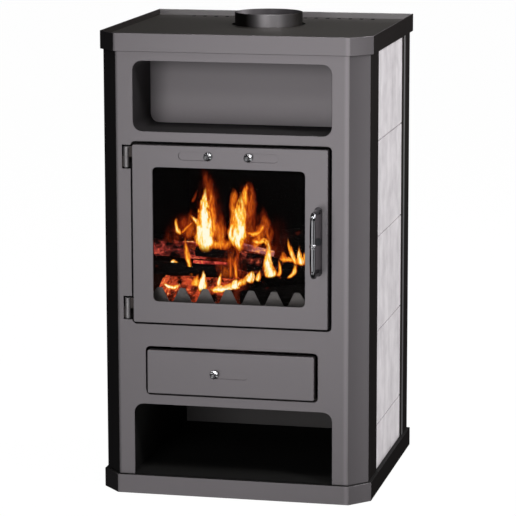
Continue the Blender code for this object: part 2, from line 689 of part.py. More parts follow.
def build_flue():
    """Smoke hood from the firebox up behind the niche, and the collar on it."""
    half = HOOD_WIDTH / 2
    hood = piece("smoke_hood", block((-half, half), (HOOD_FRONT, FIREBOX_REAR),
                                     (FIREBOX_TOP + CONTACT, HOOD_TOP)), "black_steel")
    cut(hood, block((-half + SHEET, half - SHEET), (HOOD_FRONT + SHEET, FIREBOX_REAR - SHEET),
                    (FIREBOX_TOP - CUT_PAST, HOOD_TOP - SHEET)))
    bore = FLUE_RADIUS - FLUE_WALL
    cut(hood, cylinder("Z", (0, FLUE_Y, 0), bore, HOOD_TOP - CUT_PAST, HOOD_TOP + CUT_PAST))
    foot = HOOD_TOP + CONTACT
    crown = TOP_PLATE_TOP + FLUE_RISE
    flange = FLUE_RADIUS + FLUE_FLANGE
    profile = [(bore, foot), (flange, foot), (flange, foot + SHEET),
               (FLUE_RADIUS, foot + SHEET), (FLUE_RADIUS, crown), (bore, crown)]
    piece("flue_collar", turned(profile, "Z", (0, FLUE_Y, 0), 48, ring=True), "paint_graphite",
          smooth=True)


def folded_front(name, sides, depth, flange, body):
    """Folded front: a face with sides and a return flange behind, hollow from the rear."""
    left, right, bottom, top = sides
    front = piece(name, prism(rounded(left, right, bottom, top, DOOR_CORNER), "Y",
                              Y_DOOR, Y_DOOR + depth), "paint_graphite", body, smooth=True)
    round_edges(front, EDGE_ROUND)
    cut(front, prism(rounded(left + SHEET, right - SHEET, bottom + SHEET, top - SHEET,
                             DOOR_CORNER - SHEET), "Y", Y_DOOR + SHEET, Y_DOOR + depth - SHEET))
    edge = SHEET + flange
    back = Y_DOOR + depth
    cut(front, block((left + edge, right - edge), (back - SHEET * 2, back + CUT_PAST),
                     (bottom + edge, top - edge)))
    return front


def hinge_parts(where, door):
    """Fixed knuckle, pin and door knuckle of one lift-off hinge."""
    low, high = hinge_span(where)
    middle = (low + high) / 2
    centre = (HINGE_X, Y_PANEL, 0)
    bore = PIN_RADIUS + PIN_CLEARANCE
    fixed = piece("hinge_fixed_" + where,
                  cylinder("Z", centre, HINGE_RADIUS, low, middle - HINGE_PLAY / 2, 24),
                  "paint_graphite", smooth=True)
    leaf_front = Y_BEHIND_PANEL
    fuse(fixed, block((HINGE_X - LEAF_LENGTH, HINGE_X), (leaf_front, leaf_front + LEAF_THICKNESS),
                      (low, middle - HINGE_PLAY / 2)))
    cut(fixed, cylinder("Z", centre, bore, low - CUT_PAST, high + CUT_PAST, 24))
    piece("hinge_pin_" + where, cylinder("Z", centre, PIN_RADIUS, low, high, 24), "galvanised",
          smooth=True)
    moving = piece("hinge_door_" + where,
                   cylinder("Z", centre, HINGE_RADIUS, middle + HINGE_PLAY / 2, high, 24),
                   "paint_graphite", door, smooth=True)
    fuse(moving, block((HINGE_X, DOOR_LEFT - CONTACT),
                       (Y_PANEL - LEAF_THICKNESS / 2, Y_PANEL + LEAF_THICKNESS / 2),
                       (middle + HINGE_PLAY / 2, high)))
    cut(moving, cylinder("Z", centre, bore, low - CUT_PAST, high + CUT_PAST, 24))


def slide_and_knob(name, slot, knob_at, body):
    """Air slide behind a slot, and the tapered faceted knob on it, through the slot."""
    low, high, z = slot
    half = SLOT_HEIGHT / 2 + SLIDE_LAP
    plate_front = Y_DOOR + SHEET + CONTACT
    piece(name + "_slide", block((low - SLIDE_LAP, high + SLIDE_LAP),
                                 (plate_front, plate_front + SHEET), (z - half, z + half)),
          "paint_graphite", body)
    base = Y_DOOR - KNOB_STAND
    tip = base - KNOB_LENGTH
    foot = plate_front - CONTACT
    chamfer = KNOB_TIP_RADIUS / 6
    profile = [(0, foot), (KNOB_NECK_RADIUS, foot), (KNOB_NECK_RADIUS, base),
               (KNOB_RADIUS - chamfer, base), (KNOB_RADIUS, base - chamfer),
               (KNOB_TIP_RADIUS, tip + chamfer), (KNOB_TIP_RADIUS - chamfer, tip), (0, tip)]
    piece(name + "_knob", turned(profile, "Y", (knob_at, 0, z), 12), "chrome", body)


def slide_track(name, slots, body):
    """Channel behind the slides: a web with one port behind each slot, and two rails."""
    low = min(slot[0] for slot in slots)
    high = max(slot[1] for slot in slots)
    z = slots[0][2]
    half = SLOT_HEIGHT / 2 + SLIDE_LAP + SLIDE_PLAY
    travel = max(slot[1] - slot[0] for slot in slots) - SLOT_HEIGHT
    front = Y_DOOR + SHEET + CONTACT
    web = front + SHEET + SLIDE_PLAY
    ends = (low - SLIDE_LAP - travel - SLIDE_PLAY, high + SLIDE_LAP + travel + SLIDE_PLAY)
    track = piece(name, block(ends, (front, web + LINER), (z - half - LINER, z + half + LINER)),
                  "black_steel", body)
    cut(track, block((ends[0] - CUT_PAST, ends[1] + CUT_PAST), (front - CUT_PAST, web),
                     (z - half, z + half)))
    cut(track, *[prism(stadium(slot[0], slot[1], z, SLOT_HEIGHT), "Y", front, web + CUT_PAST)
                 for slot in slots])


def build_door():
    """Glazed door with its seals, hinges, two air slides, and the turning handle."""
    door = pivot("door_pivot", (HINGE_X, Y_PANEL, DOOR_BOTTOM))
    panel = folded_front("door_panel", (DOOR_LEFT, DOOR_RIGHT, DOOR_BOTTOM, DOOR_TOP),
                         DOOR_DEPTH, DOOR_FLANGE, door)
    left, right, bottom, top = WINDOW
    through = (Y_DOOR - CUT_PAST, Y_DOOR + SHEET + CUT_PAST / 2)
    cut(panel, prism(rounded(left, right, bottom, top, WINDOW_CORNER), "Y", *through))
    slot_z = DOOR_TOP - SLOT_FROM_TOP
    slots = []
    for sign in (-1, 1):
        centre = WINDOW_MIDDLE + sign * SLOT_OFFSET
        slots.append((centre - SLOT_LENGTH / 2, centre + SLOT_LENGTH / 2, slot_z))
    cut(panel, *[prism(stadium(slot[0], slot[1], slot_z, SLOT_HEIGHT), "Y", *through)
                 for slot in slots])
    cut(panel, cylinder("Y", (HANDLE_X, 0, HANDLE_Z), SPINDLE_RADIUS + SPINDLE_CLEARANCE,
                        *through, SMALL_SEGMENTS))

    face_back = Y_DOOR + SHEET + CONTACT
    glass_front = face_back + GASKET_THICKNESS + CONTACT
    frame_front = glass_front + GLASS_THICKNESS + CONTACT
    layers = (("glass_gasket", "seal_rope", face_back, GASKET_THICKNESS, GLASS_LAP, CONTACT),
              ("door_glass", "ceramic_glass", glass_front, GLASS_THICKNESS, GLASS_LAP, None),
              ("glass_frame", "black_steel", frame_front, LINER, GLASS_LAP,
               GLASS_LAP - GLASS_FRAME_WIDTH))
    for name, look, front, thickness, lap, inner in layers:
        layer = piece(name, prism(rounded(left - lap, right + lap, bottom - lap, top + lap,
                                          WINDOW_CORNER), "Y", front, front + thickness), look, door)
        if inner is not None:
            cut(layer, prism(rounded(left - inner, right + inner, bottom - inner, top + inner,
                                     WINDOW_CORNER), "Y", front - CUT_PAST, front + CUT_PAST))

    outer = SHEET + CONTACT
    rope = piece("door_rope_seal",
                 prism(rounded(DOOR_LEFT + outer, DOOR_RIGHT - outer, DOOR_BOTTOM + outer,
                               DOOR_TOP - outer, DOOR_CORNER), "Y", Y_SEAL, Y_SEAL + ROPE_THICKNESS),
                 "seal_rope", door)
    inner = outer + ROPE_WIDTH
    cut(rope, prism(rounded(DOOR_LEFT + inner, DOOR_RIGHT - inner, DOOR_BOTTOM + inner,
                            DOOR_TOP - inner, DOOR_CORNER), "Y", Y_SEAL - CUT_PAST, Y_SEAL + CUT_PAST))

    for where in HINGE_HEIGHTS:
        hinge_parts(where, door)
    slide_track("air_slide_track", slots, door)
    for side, slot, knob_at in (("left", slots[0], slots[0][1] - SLOT_HEIGHT / 2),
                                ("right", slots[1], slots[1][0] + SLOT_HEIGHT / 2)):
        body = pivot(f"air_{side}_pivot", (knob_at, Y_DOOR, slot_z), door)
        slide_and_knob("air_" + side, slot, knob_at, body)
    build_handle(door)


def handle_path():
    """Points and radii of the handle: foot, bend, swelling grip with a bead, bend, foot."""
    foot = Y_DOOR - CONTACT - HANDLE_PLATE_THICKNESS - CONTACT
    grip = Y_DOOR - HANDLE_STANDOFF
    half = HANDLE_SPAN / 2
    points = [(foot, half, 1.0), (grip + HANDLE_BEND, half, 1.0)]
    for step in range(1, 5):
        angle = math.pi / 2 * step / 4
        points.append((grip + HANDLE_BEND * (1 - math.sin(angle)),
                       half - HANDLE_BEND * (1 - math.cos(angle)), 1.0))
    straight = half - HANDLE_BEND
    bead_half = HANDLE_BEAD_RADIUS * 0.6
    for step in range(1, 5):
        share = step / 4
        swell = 1 + HANDLE_SWELL / HANDLE_RADIUS * math.sin(math.pi * share)
        points.append((grip, straight + (bead_half - straight) * share, swell))
    bead = HANDLE_BEAD_RADIUS / HANDLE_RADIUS
    points.append((grip, bead_half / 2, bead))
    mirrored = [(y, -z, swell) for y, z, swell in points[::-1]]
    return points + mirrored


def build_handle(door):
    """Handle on its long plate, turning on the spindle that carries the latch tongue."""
    body = pivot("handle_pivot", (HANDLE_X, Y_DOOR, HANDLE_Z), door)
    plate_back = Y_DOOR - CONTACT
    plate_front = plate_back - HANDLE_PLATE_THICKNESS
    half_width = HANDLE_PLATE_WIDTH / 2
    reach = HANDLE_SPAN / 2 + half_width
    plate_outline = [(HANDLE_X + v, HANDLE_Z + u) for u, v in
                     stadium(-reach, reach, 0, HANDLE_PLATE_WIDTH)]
    plate = piece("handle_plate", prism(plate_outline, "Y", plate_front, plate_back),
                  "black_steel", body, smooth=True)
    bore = SPINDLE_RADIUS + SPINDLE_CLEARANCE
    cut(plate, cylinder("Y", (HANDLE_X, 0, HANDLE_Z), bore, plate_front - CUT_PAST,
                        plate_back + CUT_PAST, SMALL_SEGMENTS))

    path = handle_path()
    sides = 12
    bm = bmesh.new()
    rings = []
    for index, (y, z, swell) in enumerate(path):
        before = path[max(index - 1, 0)]
        after = path[min(index + 1, len(path) - 1)]
        along = Vector((0, after[0] - before[0], after[1] - before[1])).normalized()
        across = along.cross(Vector((1, 0, 0)))
        ring = []
        for step in range(sides):
            angle = 2 * math.pi * step / sides
            offset = Vector((1, 0, 0)) * math.cos(angle) + across * math.sin(angle)
            centre = Vector((HANDLE_X, y, HANDLE_Z + z))
            ring.append(bm.verts.new(centre + offset * HANDLE_RADIUS * swell))
        rings.append(ring)
    for lower, upper in zip(rings, rings[1:]):
        for step in range(sides):
            following = (step + 1) % sides
            bm.faces.new((lower[step], lower[following], upper[following], upper[step]))
    bm.faces.new(rings[0])
    bm.faces.new(rings[-1])
    bmesh.ops.recalc_face_normals(bm, faces=bm.faces)
    piece("door_handle", bm, "chrome", body, smooth=True)

    tongue_front = Y_INSIDE + CONTACT
    tongue_back = tongue_front + TONGUE_THICKNESS
    head = plate_front - CONTACT
    end = tongue_back + TONGUE_THICKNESS / 2
    crown = head - SPINDLE_HEAD_HEIGHT
    profile = [(0, end), (SPINDLE_RADIUS, end), (SPINDLE_RADIUS, head), (half_width, head),
               (half_width, crown), (0, crown)]
    piece("latch_spindle", turned(profile, "Y", (HANDLE_X, 0, HANDLE_Z), SMALL_SEGMENTS),
          "black_steel", body, smooth=True)
    tongue = piece("latch_tongue",
                   prism(stadium(HANDLE_X - TONGUE_WIDTH / 2, HANDLE_X + TONGUE_LENGTH, HANDLE_Z,
                                 TONGUE_WIDTH), "Y", tongue_front, tongue_back), "black_steel", body)
    cut(tongue, cylinder("Y", (HANDLE_X, 0, HANDLE_Z), bore, tongue_front - CUT_PAST,
                         tongue_back + CUT_PAST, SMALL_SEGMENTS))


def build_drawer():
    """Ash drawer with its pan and air slide, and the housing that it runs in."""
    drawer = pivot("drawer_pivot", ((DRAWER_LEFT + DRAWER_RIGHT) / 2, Y_DOOR, DRAWER_BOTTOM))
    front = folded_front("ash_drawer_front", (DRAWER_LEFT, DRAWER_RIGHT, DRAWER_BOTTOM, DRAWER_TOP),
                         DRAWER_DEPTH, DRAWER_FLANGE, drawer)
    z = (DRAWER_BOTTOM + DRAWER_TOP) / 2
    slot = (WINDOW_MIDDLE - DRAWER_SLOT_LENGTH / 2, WINDOW_MIDDLE + DRAWER_SLOT_LENGTH / 2, z)
    cut(front, prism(stadium(slot[0], slot[1], z, SLOT_HEIGHT), "Y", Y_DOOR - CUT_PAST,
                     Y_DOOR + SHEET + CUT_PAST / 5))
    slide_track("drawer_slide_track", [slot], drawer)
    knob_at = slot[0] + SLOT_HEIGHT / 2
    body = pivot("drawer_air_pivot", (knob_at, Y_DOOR, z), drawer)
    slide_and_knob("drawer_air", slot, knob_at, body)

    left, right = DRAWER_LEFT + ASH_PAN_MARGIN, DRAWER_RIGHT - ASH_PAN_MARGIN
    pan_front = Y_DOOR + DRAWER_DEPTH + CONTACT
    pan_rear = pan_front + ASH_PAN_LENGTH
    pan_low = DRAWER_BOTTOM + LINER + CONTACT
    pan = piece("ash_pan", block((left, right), (pan_front, pan_rear),
                                 (pan_low, pan_low + ASH_PAN_HEIGHT)), "galvanised", drawer)
    cut(pan, block((left + LINER, right - LINER), (pan_front + LINER, pan_rear - LINER),
                   (pan_low + LINER, pan_low + ASH_PAN_HEIGHT + CUT_PAST)))

    left, right = DRAWER_LEFT - DOOR_GAP, DRAWER_RIGHT + DOOR_GAP
    rear = pan_rear + ASH_PAN_PLAY
    housing = piece("drawer_housing", block((left - LINER, right + LINER),
                                            (Y_BEHIND_PANEL, rear + LINER),
                                            (DRAWER_BOTTOM - DOOR_GAP, FIREBOX_BOTTOM - CONTACT)),
                    "black_steel")
    cut(housing, block((left, right), (Y_BEHIND_PANEL - CUT_PAST, rear),
                       (DRAWER_BOTTOM - DOOR_GAP + LINER, FIREBOX_BOTTOM + CUT_PAST)))
    runner = (DRAWER_BOTTOM - DOOR_GAP + LINER / 2, DRAWER_BOTTOM + LINER)
    runner_y = (Y_DOOR + DRAWER_DEPTH + CONTACT, rear + LINER / 2)
    for across in ((left - LINER / 2, left + DOOR_GAP + ASH_PAN_MARGIN * 2),
                   (right - DOOR_GAP - ASH_PAN_MARGIN * 2, right + LINER / 2)):
        fuse(housing, block(across, runner_y, runner))


def main():
    """Empty the scene and build the stove."""
    for existing in list(bpy.data.objects):
        bpy.data.objects.remove(existing, do_unlink=True)
    build_plinth_and_rim()
    build_front_panel()
    for side, sign in (("left", -1), ("right", 1)):
        build_side(side, sign)
    build_back_panel()
    build_niches()
    build_firebox()
    build_flue()
    build_door()
    build_drawer()


main()
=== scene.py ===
"""Looks of a free-standing steel wood stove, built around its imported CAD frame.

Each sub-assembly is a class that makes its pieces in metres, in the frame of the CAD model,
and dresses them in procedural finishes. The stove stands on z = 0 and faces -Y.
"""

import logging
import math
from collections.abc import Callable
from dataclasses import dataclass
from enum import Enum
from typing import ClassVar

import bmesh
import bpy
import numpy as np
from mathutils import Matrix, Vector


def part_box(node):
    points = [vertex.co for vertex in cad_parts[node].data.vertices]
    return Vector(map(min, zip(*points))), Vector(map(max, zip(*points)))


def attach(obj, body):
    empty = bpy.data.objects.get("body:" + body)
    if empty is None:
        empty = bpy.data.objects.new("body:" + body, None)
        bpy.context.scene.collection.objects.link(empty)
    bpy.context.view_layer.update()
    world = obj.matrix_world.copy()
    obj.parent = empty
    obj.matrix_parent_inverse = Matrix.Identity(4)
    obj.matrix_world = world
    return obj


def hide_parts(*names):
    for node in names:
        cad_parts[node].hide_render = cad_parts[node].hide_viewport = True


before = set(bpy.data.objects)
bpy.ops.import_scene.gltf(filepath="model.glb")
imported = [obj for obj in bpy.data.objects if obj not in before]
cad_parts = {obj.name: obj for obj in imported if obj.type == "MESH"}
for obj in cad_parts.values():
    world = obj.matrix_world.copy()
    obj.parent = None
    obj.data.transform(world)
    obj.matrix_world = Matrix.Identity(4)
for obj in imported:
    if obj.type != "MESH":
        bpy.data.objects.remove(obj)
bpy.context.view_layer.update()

LOG = logging.getLogger("stove")
MILLIMETRE = 0.001

Colour = tuple[float, float, float]
Array = np.ndarray


def scaled(colour: Colour, gain: float) -> Colour:
    """Colour times a number."""
    return tuple(part * gain for part in colour)


class Body(Enum):
    """The bodies of the stove that pieces ride on."""

    STOVE = "stove_body"
    DOOR = "door"
    HANDLE = "door_handle"
    AIR_LEFT = "air_slide_left"
    AIR_RIGHT = "air_slide_right"
    DRAWER = "ash_drawer"
    DRAWER_AIR = "drawer_air_slide"


class Slot(Enum):
    """The record's material slots."""

    GRAPHITE = "paint_graphite"
    BLACK = "paint_black"
    STONE = "stone_tile"
    CHROME = "chrome"
    STEEL = "black_steel"
    IRON = "cast_iron"
    BRICK = "firebrick"
    GLASS = "ceramic_glass"
    ROPE = "seal_rope"
    ZINC = "galvanised"


class Axis(Enum):
    """Axes that a piece can be turned round, by their place among the coordinates."""

    X = 0
    Y = 1
    Z = 2


class Side(Enum):
    """Sides of the stove, with the sign of their x."""

    LEFT = -1
    RIGHT = 1


class Hinge(Enum):
    """The hinges of the door, by the last word of their nodes."""

    UPPER = "upper"
    LOWER = "lower"


# Shader arithmetic


@dataclass(frozen=True)
class Value:
    """Output of a node that takes part in arithmetic, which adds Math nodes.

    Attributes:
        shader: nodes that it belongs to.
        socket: the output itself.
    """

    shader: "Shader"
    socket: bpy.types.NodeSocket

    def math(self, operation: str, *others: "Value | float") -> "Value":
        """Math node with this value first."""
        return self.shader.node("Math", {"operation": operation},
                                dict(enumerate((self, *others))))

    def __add__(self, other: "Value | float") -> "Value":
        """Sum."""
        return self.math("ADD", other)

    def __sub__(self, other: "Value | float") -> "Value":
        """Difference."""
        return self.math("SUBTRACT", other)

    def __rsub__(self, other: float) -> "Value":
        """Difference from a number."""
        return self.shader.node("Math", {"operation": "SUBTRACT"}, {0: other, 1: self})

    def __mul__(self, other: "Value | float") -> "Value":
        """Product."""
        return self.math("MULTIPLY", other)

    def __truediv__(self, other: "Value | float") -> "Value":
        """Quotient."""
        return self.math("DIVIDE", other)

    def __pow__(self, other: float) -> "Value":
        """Power."""
        return self.math("POWER", other)

    def between(self, low: float, high: float) -> "Value":
        """Smooth step from 0 at low to 1 at high."""
        return self.shader.node("MapRange", {"interpolation_type": "SMOOTHSTEP"},
                                {"Value": self, "From Min": low, "From Max": high})


class Shader:
    """Node tree of one material, and the calls that fill it."""

    def __init__(self, name: str) -> None:
        """Start an empty material.

        Args:
            name: name of the material.
        """
        self.material = bpy.data.materials.new(name)
        self.material.use_nodes = True
        self.tree = self.material.node_tree
        self.tree.nodes.clear()

    def node(self, kind: str, settings: dict | None = None, values: dict | None = None,
             output: int | str = 0) -> Value:
        """Add a node.

        Args:
            kind: node type, without its ShaderNode prefix.
            settings: properties that are set first; "stops" fills a colour ramp.
            values: sockets by name or number, each with a number, a tuple or a Value.
            output: the output that is handed back.

        Returns:
            The chosen output.
        """
        made = self.tree.nodes.new("ShaderNode" + kind)
        for name, setting in (settings or {}).items():
            if name == "stops":
                self._fill_ramp(made.color_ramp, setting)
            else:
                setattr(made, name, setting)
        for key, value in (values or {}).items():
            socket = made.inputs[key]
            if isinstance(value, Value):
                self.tree.links.new(value.socket, socket)
            elif socket.type == "RGBA" and len(value) == 3:
                socket.default_value = (*value, 1.0)
            else:
                socket.default_value = value
        return Value(self, made.outputs[output])

    @staticmethod
    def _fill_ramp(ramp: bpy.types.ColorRamp, stops: list[tuple[float, Colour]]) -> None:
        """Put the stops of a colour ramp in place.

        Args:
            ramp: the ramp.
            stops: position and colour of each stop, from low to high.
        """
        while len(ramp.elements) < len(stops):
            ramp.elements.new(1.0)
        for element, (position, colour) in zip(ramp.elements, stops):
            element.position = position
            element.color = (*colour, 1.0)

    def place(self) -> Value:
        """Object coordinates, which are metres in the stove's frame."""
        return self.node("TexCoord", output="Object")

    def stretched(self, place: Value, scale: Colour) -> Value:
        """Coordinates scaled along each axis."""
        return self.node("Mapping", None, {"Vector": place, "Scale": scale})

    def split(self, vector: Value) -> tuple[Value, Value, Value]:
        """The three parts of a vector.

        Args:
            vector: the vector.

        Returns:
            Its x, y and z.
        """
        first = self.node("SeparateXYZ", None, {0: vector})
        outputs = first.socket.node.outputs
        return first, Value(self, outputs[1]), Value(self, outputs[2])

    def noise(self, place: Value, scale: float, detail: float = 3.0,
              roughness: float = 0.5) -> Value:
        """Soft noise between 0 and 1."""
        return self.node("TexNoise", None, {"Vector": place, "Scale": scale, "Detail": detail,
                                            "Roughness": roughness})

    def cells(self, place: Value, scale: float, feature: str = "F1",
              output: str = "Distance") -> Value:
        """Voronoi cells."""
        return self.node("TexVoronoi", {"feature": feature},
                         {"Vector": place, "Scale": scale}, output)

    def ramp(self, value: Value, stops: list[tuple[float, Colour]]) -> Value:
        """Colour ramp over a value."""
        return self.node("ValToRGB", {"stops": stops}, {0: value})

    def mix(self, factor: "Value | float", first: "Value | Colour",
            second: "Value | Colour") -> Value:
        """Blend of two colours."""
        return self.node("Mix", {"data_type": "RGBA"}, {0: factor, 6: first, 7: second}, 2)

    def bump(self, height: Value, distance: float, strength: float = 1.0) -> Value:
        """Normal from a height that goes from 0 to 1 over a distance in metres."""
        return self.node("Bump", None, {"Height": height, "Distance": distance,
                                        "Strength": strength})

    def surface(self, values: dict) -> Value:
        """Principled surface."""
        return self.node("BsdfPrincipled", None, values)

    def done(self, surface: Value) -> bpy.types.Material:
        """Join the surface to the material's output.

        Args:
            surface: output of the surface.

        Returns:
            The finished material.
        """
        output = self.tree.nodes.new("ShaderNodeOutputMaterial")
        self.tree.links.new(surface.socket, output.inputs["Surface"])
        return self.material


# Finishes


class Finish:
    """Procedural look of a surface, made once for each set of its numbers.

    Attributes:
        made: the materials that exist, by their finish.
    """

    made: ClassVar[dict["Finish", bpy.types.Material]] = {}

    def dress(self, shader: Shader) -> Value:
        """The surface of this finish.

        Args:
            shader: nodes of its material.

        Returns:
            The surface's output.
        """
        raise NotImplementedError

    def material(self) -> bpy.types.Material:
        """The material of this finish.

        Returns:
            The same material each time.
        """
        if self not in Finish.made:
            shader = Shader(f"{type(self).__name__}_{len(Finish.made)}")
            Finish.made[self] = shader.done(self.dress(shader))
        return Finish.made[self]


class Coat(Finish):
    """Baked stove paint of any tone: a satin coat with a very fine grain."""

    def coat(self, shader: Shader, place: Value, base: "Value | Colour",
             roughness: "Value | float", flakes: "Value | float" = 1.0) -> Value:
        """The painted surface.

        Args:
            shader: the material's nodes.
            place: object coordinates.
            base: reflection of the flakes.
            roughness: width of the gloss, to which the grain adds a little.
            flakes: share of metallic reflection.

        Returns:
            The surface.
        """
        grain = shader.noise(place, 1400, 2)
        return shader.surface({
            "Base Color": base,
            "Metallic": flakes,
            "Roughness": grain * 0.08 + roughness,
            "Normal": shader.bump(grain, 0.04 * MILLIMETRE, 0.6)})


@dataclass(frozen=True)
class Paint(Coat):
    """Plain coat, whose tone and gloss change slowly.

    Attributes:
        colour: reflection of the flakes.
        flakes: share of metallic reflection.
        roughness: width of its gloss.
    """

    colour: Colour = (0.27, 0.250, 0.263)
    flakes: float = 1.0
    roughness: float = 0.43

    def dress(self, shader: Shader) -> Value:
        """Clouds in the tone and in the gloss.

        Args:
            shader: nodes of its material.

        Returns:
            The surface's output.
        """
        place = shader.place()
        cloud = shader.noise(place, 7, 3)
        return self.coat(shader, place, shader.mix(cloud, scaled(self.colour, 0.9), self.colour),
                         cloud * 0.04 + (self.roughness - 0.06), self.flakes)


@dataclass(frozen=True)
class BentPaint(Coat):
    """The plain coat on a sheet that is bent back at both sides, with painted light and shade.

    A painted highlight lies beside the right bend, painted shade on the right chamfer changes its
    tone away from it, and painted shade darkens the left chamfer.

    Attributes:
        bend: distance of both bends from the middle of the sheet.
        chamfer: width of a chamfer, seen from the front.
        left: painted shade of the left chamfer, as a share of the full tone.
        dip: painted shade on the right chamfer next to the bend, as a loss of tone.
        brightest: a tone that is never reached, by which the mix is scaled.
        shine_inset: distance of the middle of the painted highlight from the right bend.
        shine_width: distance from there at which it has faded.
        left_blend: width over which the painted shade of the left chamfer passes into the full
            tone.
    """

    bend: float
    chamfer: float
    left: float
    dip: float
    brightest: float = 1.3
    shine_inset: float = 5.5 * MILLIMETRE
    shine_width: float = 7 * MILLIMETRE
    left_blend: float = 6 * MILLIMETRE

    def dress(self, shader: Shader) -> Value:
        """Clouds as on the plain coat, times the painted light and shade across the sheet.

        Args:
            shader: nodes of its material.

        Returns:
            The surface's output.
        """
        place = shader.place()
        cloud = shader.noise(place, 7, 3)
        across = shader.split(place)[0]
        # Painted highlight beside the right bend; painted shade on the right chamfer next to it and
        # on the left chamfer.
        peak = self.bend - self.shine_inset
        highlight = 1.0 - (across - peak).math("ABSOLUTE").between(0.0, self.shine_width)
        beyond = across.between(self.bend, self.bend + MILLIMETRE)
        fading = 1.0 - across.between(self.bend, self.bend + self.chamfer)
        inner = across.between(-self.bend - MILLIMETRE, self.left_blend - self.bend)
        tone = ((highlight * 0.26 - beyond * fading * self.dip + 1.0)
                * (inner * (1 - self.left) + self.left))
        pale = scaled(GRAPHITE.colour, self.brightest)
        coat = shader.mix(cloud, scaled(pale, 0.9), pale)
        return self.coat(shader, place, shader.mix(tone / self.brightest, (0.0, 0.0, 0.0), coat),
                         cloud * 0.04 + (GRAPHITE.roughness - 0.06))


@dataclass(frozen=True)
class FoldPaint(Coat):
    """Dark coat with a painted highlight: a paler upright line where the sheet is folded.

    Attributes:
        line: place of the line in y.
        width: width of the line.
        worn: colour of the painted highlight on the line.
    """

    line: float
    width: float
    worn: Colour = (0.95, 0.94, 0.95)

    def dress(self, shader: Shader) -> Value:
        """The coat, with the painted highlight near the line.

        Args:
            shader: nodes of its material.

        Returns:
            The surface's output.
        """
        place = shader.place()
        away = (shader.split(place)[1] - self.line).math("ABSOLUTE")
        # Painted highlight along the fold.
        near = 1.0 - away.between(self.width * 0.3, self.width * 0.6)
        return self.coat(shader, place, shader.mix(near * 0.85, SIDE_PAINT_AND_SHADE.colour, self.worn), 0.38)


@dataclass(frozen=True)
class CollarPaint(Coat):
    """Coat round the flue collar with painted light: a painted highlight in front and painted shade
    that darkens it to both sides.

    Attributes:
        middle: place of the painted highlight in x.
        radius: radius of the collar.
        colour: colour of the painted highlight.
        shade: colour of the painted shade on the sides.
    """

    middle: float
    radius: float
    colour: Colour = (0.60, 0.57, 0.59)
    shade: Colour = (0.014, 0.012, 0.011)

    def dress(self, shader: Shader) -> Value:
        """Painted shade that darkens away from the painted highlight.

        Args:
            shader: nodes of its material.

        Returns:
            The surface's output.
        """
        place = shader.place()
        away = (shader.split(place)[0] - self.middle).math("ABSOLUTE") / self.radius
        # Painted highlight at the middle line, painted shade towards both sides.
        tone = shader.mix(away.between(0.0, 0.74) ** 0.8, self.colour, self.shade)
        return self.coat(shader, place, tone, 0.44)


@dataclass(frozen=True)
class NichePaint(Coat):
    """Coat on a liner with painted light: full tone on its rear wall, and painted shade on floor,
    roof and sides.

    Attributes:
        rear: place of the rear wall.
        floor: height of the floor, near which painted light makes the rear wall paler.
        roof: height of the roof, under which painted shade darkens the rear wall.
        colour: reflection of the rear wall.
        shade: colour of the painted shade on the other walls.
    """

    rear: float
    floor: float
    roof: float
    colour: Colour
    shade: Colour

    def dress(self, shader: Shader) -> Value:
        """Painted shade forward of the rear wall and under the roof, and painted light low on it.

        Args:
            shader: nodes of its material.

        Returns:
            The surface's output.
        """
        place = shader.place()
        _, along, height = shader.split(place)
        wall = along.between(self.rear - 2 * MILLIMETRE, self.rear - MILLIMETRE)
        rise = (height - self.floor) / (self.roof - self.floor)
        # Painted light low on the rear wall and painted shade under the roof; the other walls get
        # the painted shade colour.
        tone = shader.mix(rise.between(0.0, 0.55), scaled(self.colour, 1.7), self.colour)
        tone = shader.mix(rise.between(0.68, 1.0), tone, scaled(self.colour, 0.42))
        return self.coat(shader, place, shader.mix(wall, self.shade, tone), 0.88 - wall * 0.36,
                         wall * 0.9)


@dataclass(frozen=True)
class Stone(Finish):
    """Pale mottled stone with faint upright streaks, fine pits and a matt polish.

    Attributes:
        light: colour of its pale clouds.
        dark: colour of its dark clouds and pits.
    """

    light: Colour = (0.70, 0.665, 0.685)
    dark: Colour = (0.47, 0.44, 0.46)

    def dress(self, shader: Shader) -> Value:
        """Clouds, streaks and pits that differ from tile to tile with the height.

        Args:
            shader: nodes of its material.

        Returns:
            The surface's output.
        """
        place = shader.place()
        clouds = shader.noise(place, 14, 5, 0.62)
        streaks = shader.noise(shader.stretched(place, (60.0, 60.0, 6.0)), 1.0, 4, 0.6)
        specks = shader.noise(place, 520, 3, 0.7)
        veins = shader.node("TexWave", {"wave_type": "BANDS", "bands_direction": "Y"},
                            {"Vector": place, "Scale": 4.0, "Distortion": 9.0, "Detail": 4.0,
                             "Detail Scale": 2.2}, "Fac")
        tone = clouds * 0.55 + streaks * 0.25 + specks * 0.12 + veins * 0.08
        pits = shader.cells(place, 420).between(0.02, 0.22)
        body = shader.ramp(tone, [(0.30, self.dark), (0.62, self.light)])
        return shader.surface({
            "Base Color": shader.mix(pits * 0.25 + 0.75, self.dark, body),
            "Roughness": specks * 0.2 + 0.5,
            "Normal": shader.bump(specks * 0.5 + clouds + pits * 0.3, 0.5 * MILLIMETRE, 0.5)})


@dataclass(frozen=True)
class Metal(Finish):
    """Plated metal with polishing marks and soft stains.

    Attributes:
        colour: reflection of the metal.
        roughness: width of its gloss.
        stain: how far stains change the roughness.
    """

    colour: Colour = (0.66, 0.66, 0.69)
    roughness: float = 0.07
    stain: float = 0.06

    def dress(self, shader: Shader) -> Value:
        """Marks in the roughness and in a shallow bump.

        Args:
            shader: nodes of its material.

        Returns:
            The surface's output.
        """
        place = shader.place()
        marks = shader.noise(place, 900, 2)
        stains = shader.noise(place, 30, 4, 0.6)
        return shader.surface({
            "Base Color": shader.mix(stains, scaled(self.colour, 0.82), self.colour),
            "Metallic": 1.0,
            "Roughness": marks * 0.05 + stains * self.stain + self.roughness,
            "Normal": shader.bump(marks, 0.02 * MILLIMETRE, 0.5)})


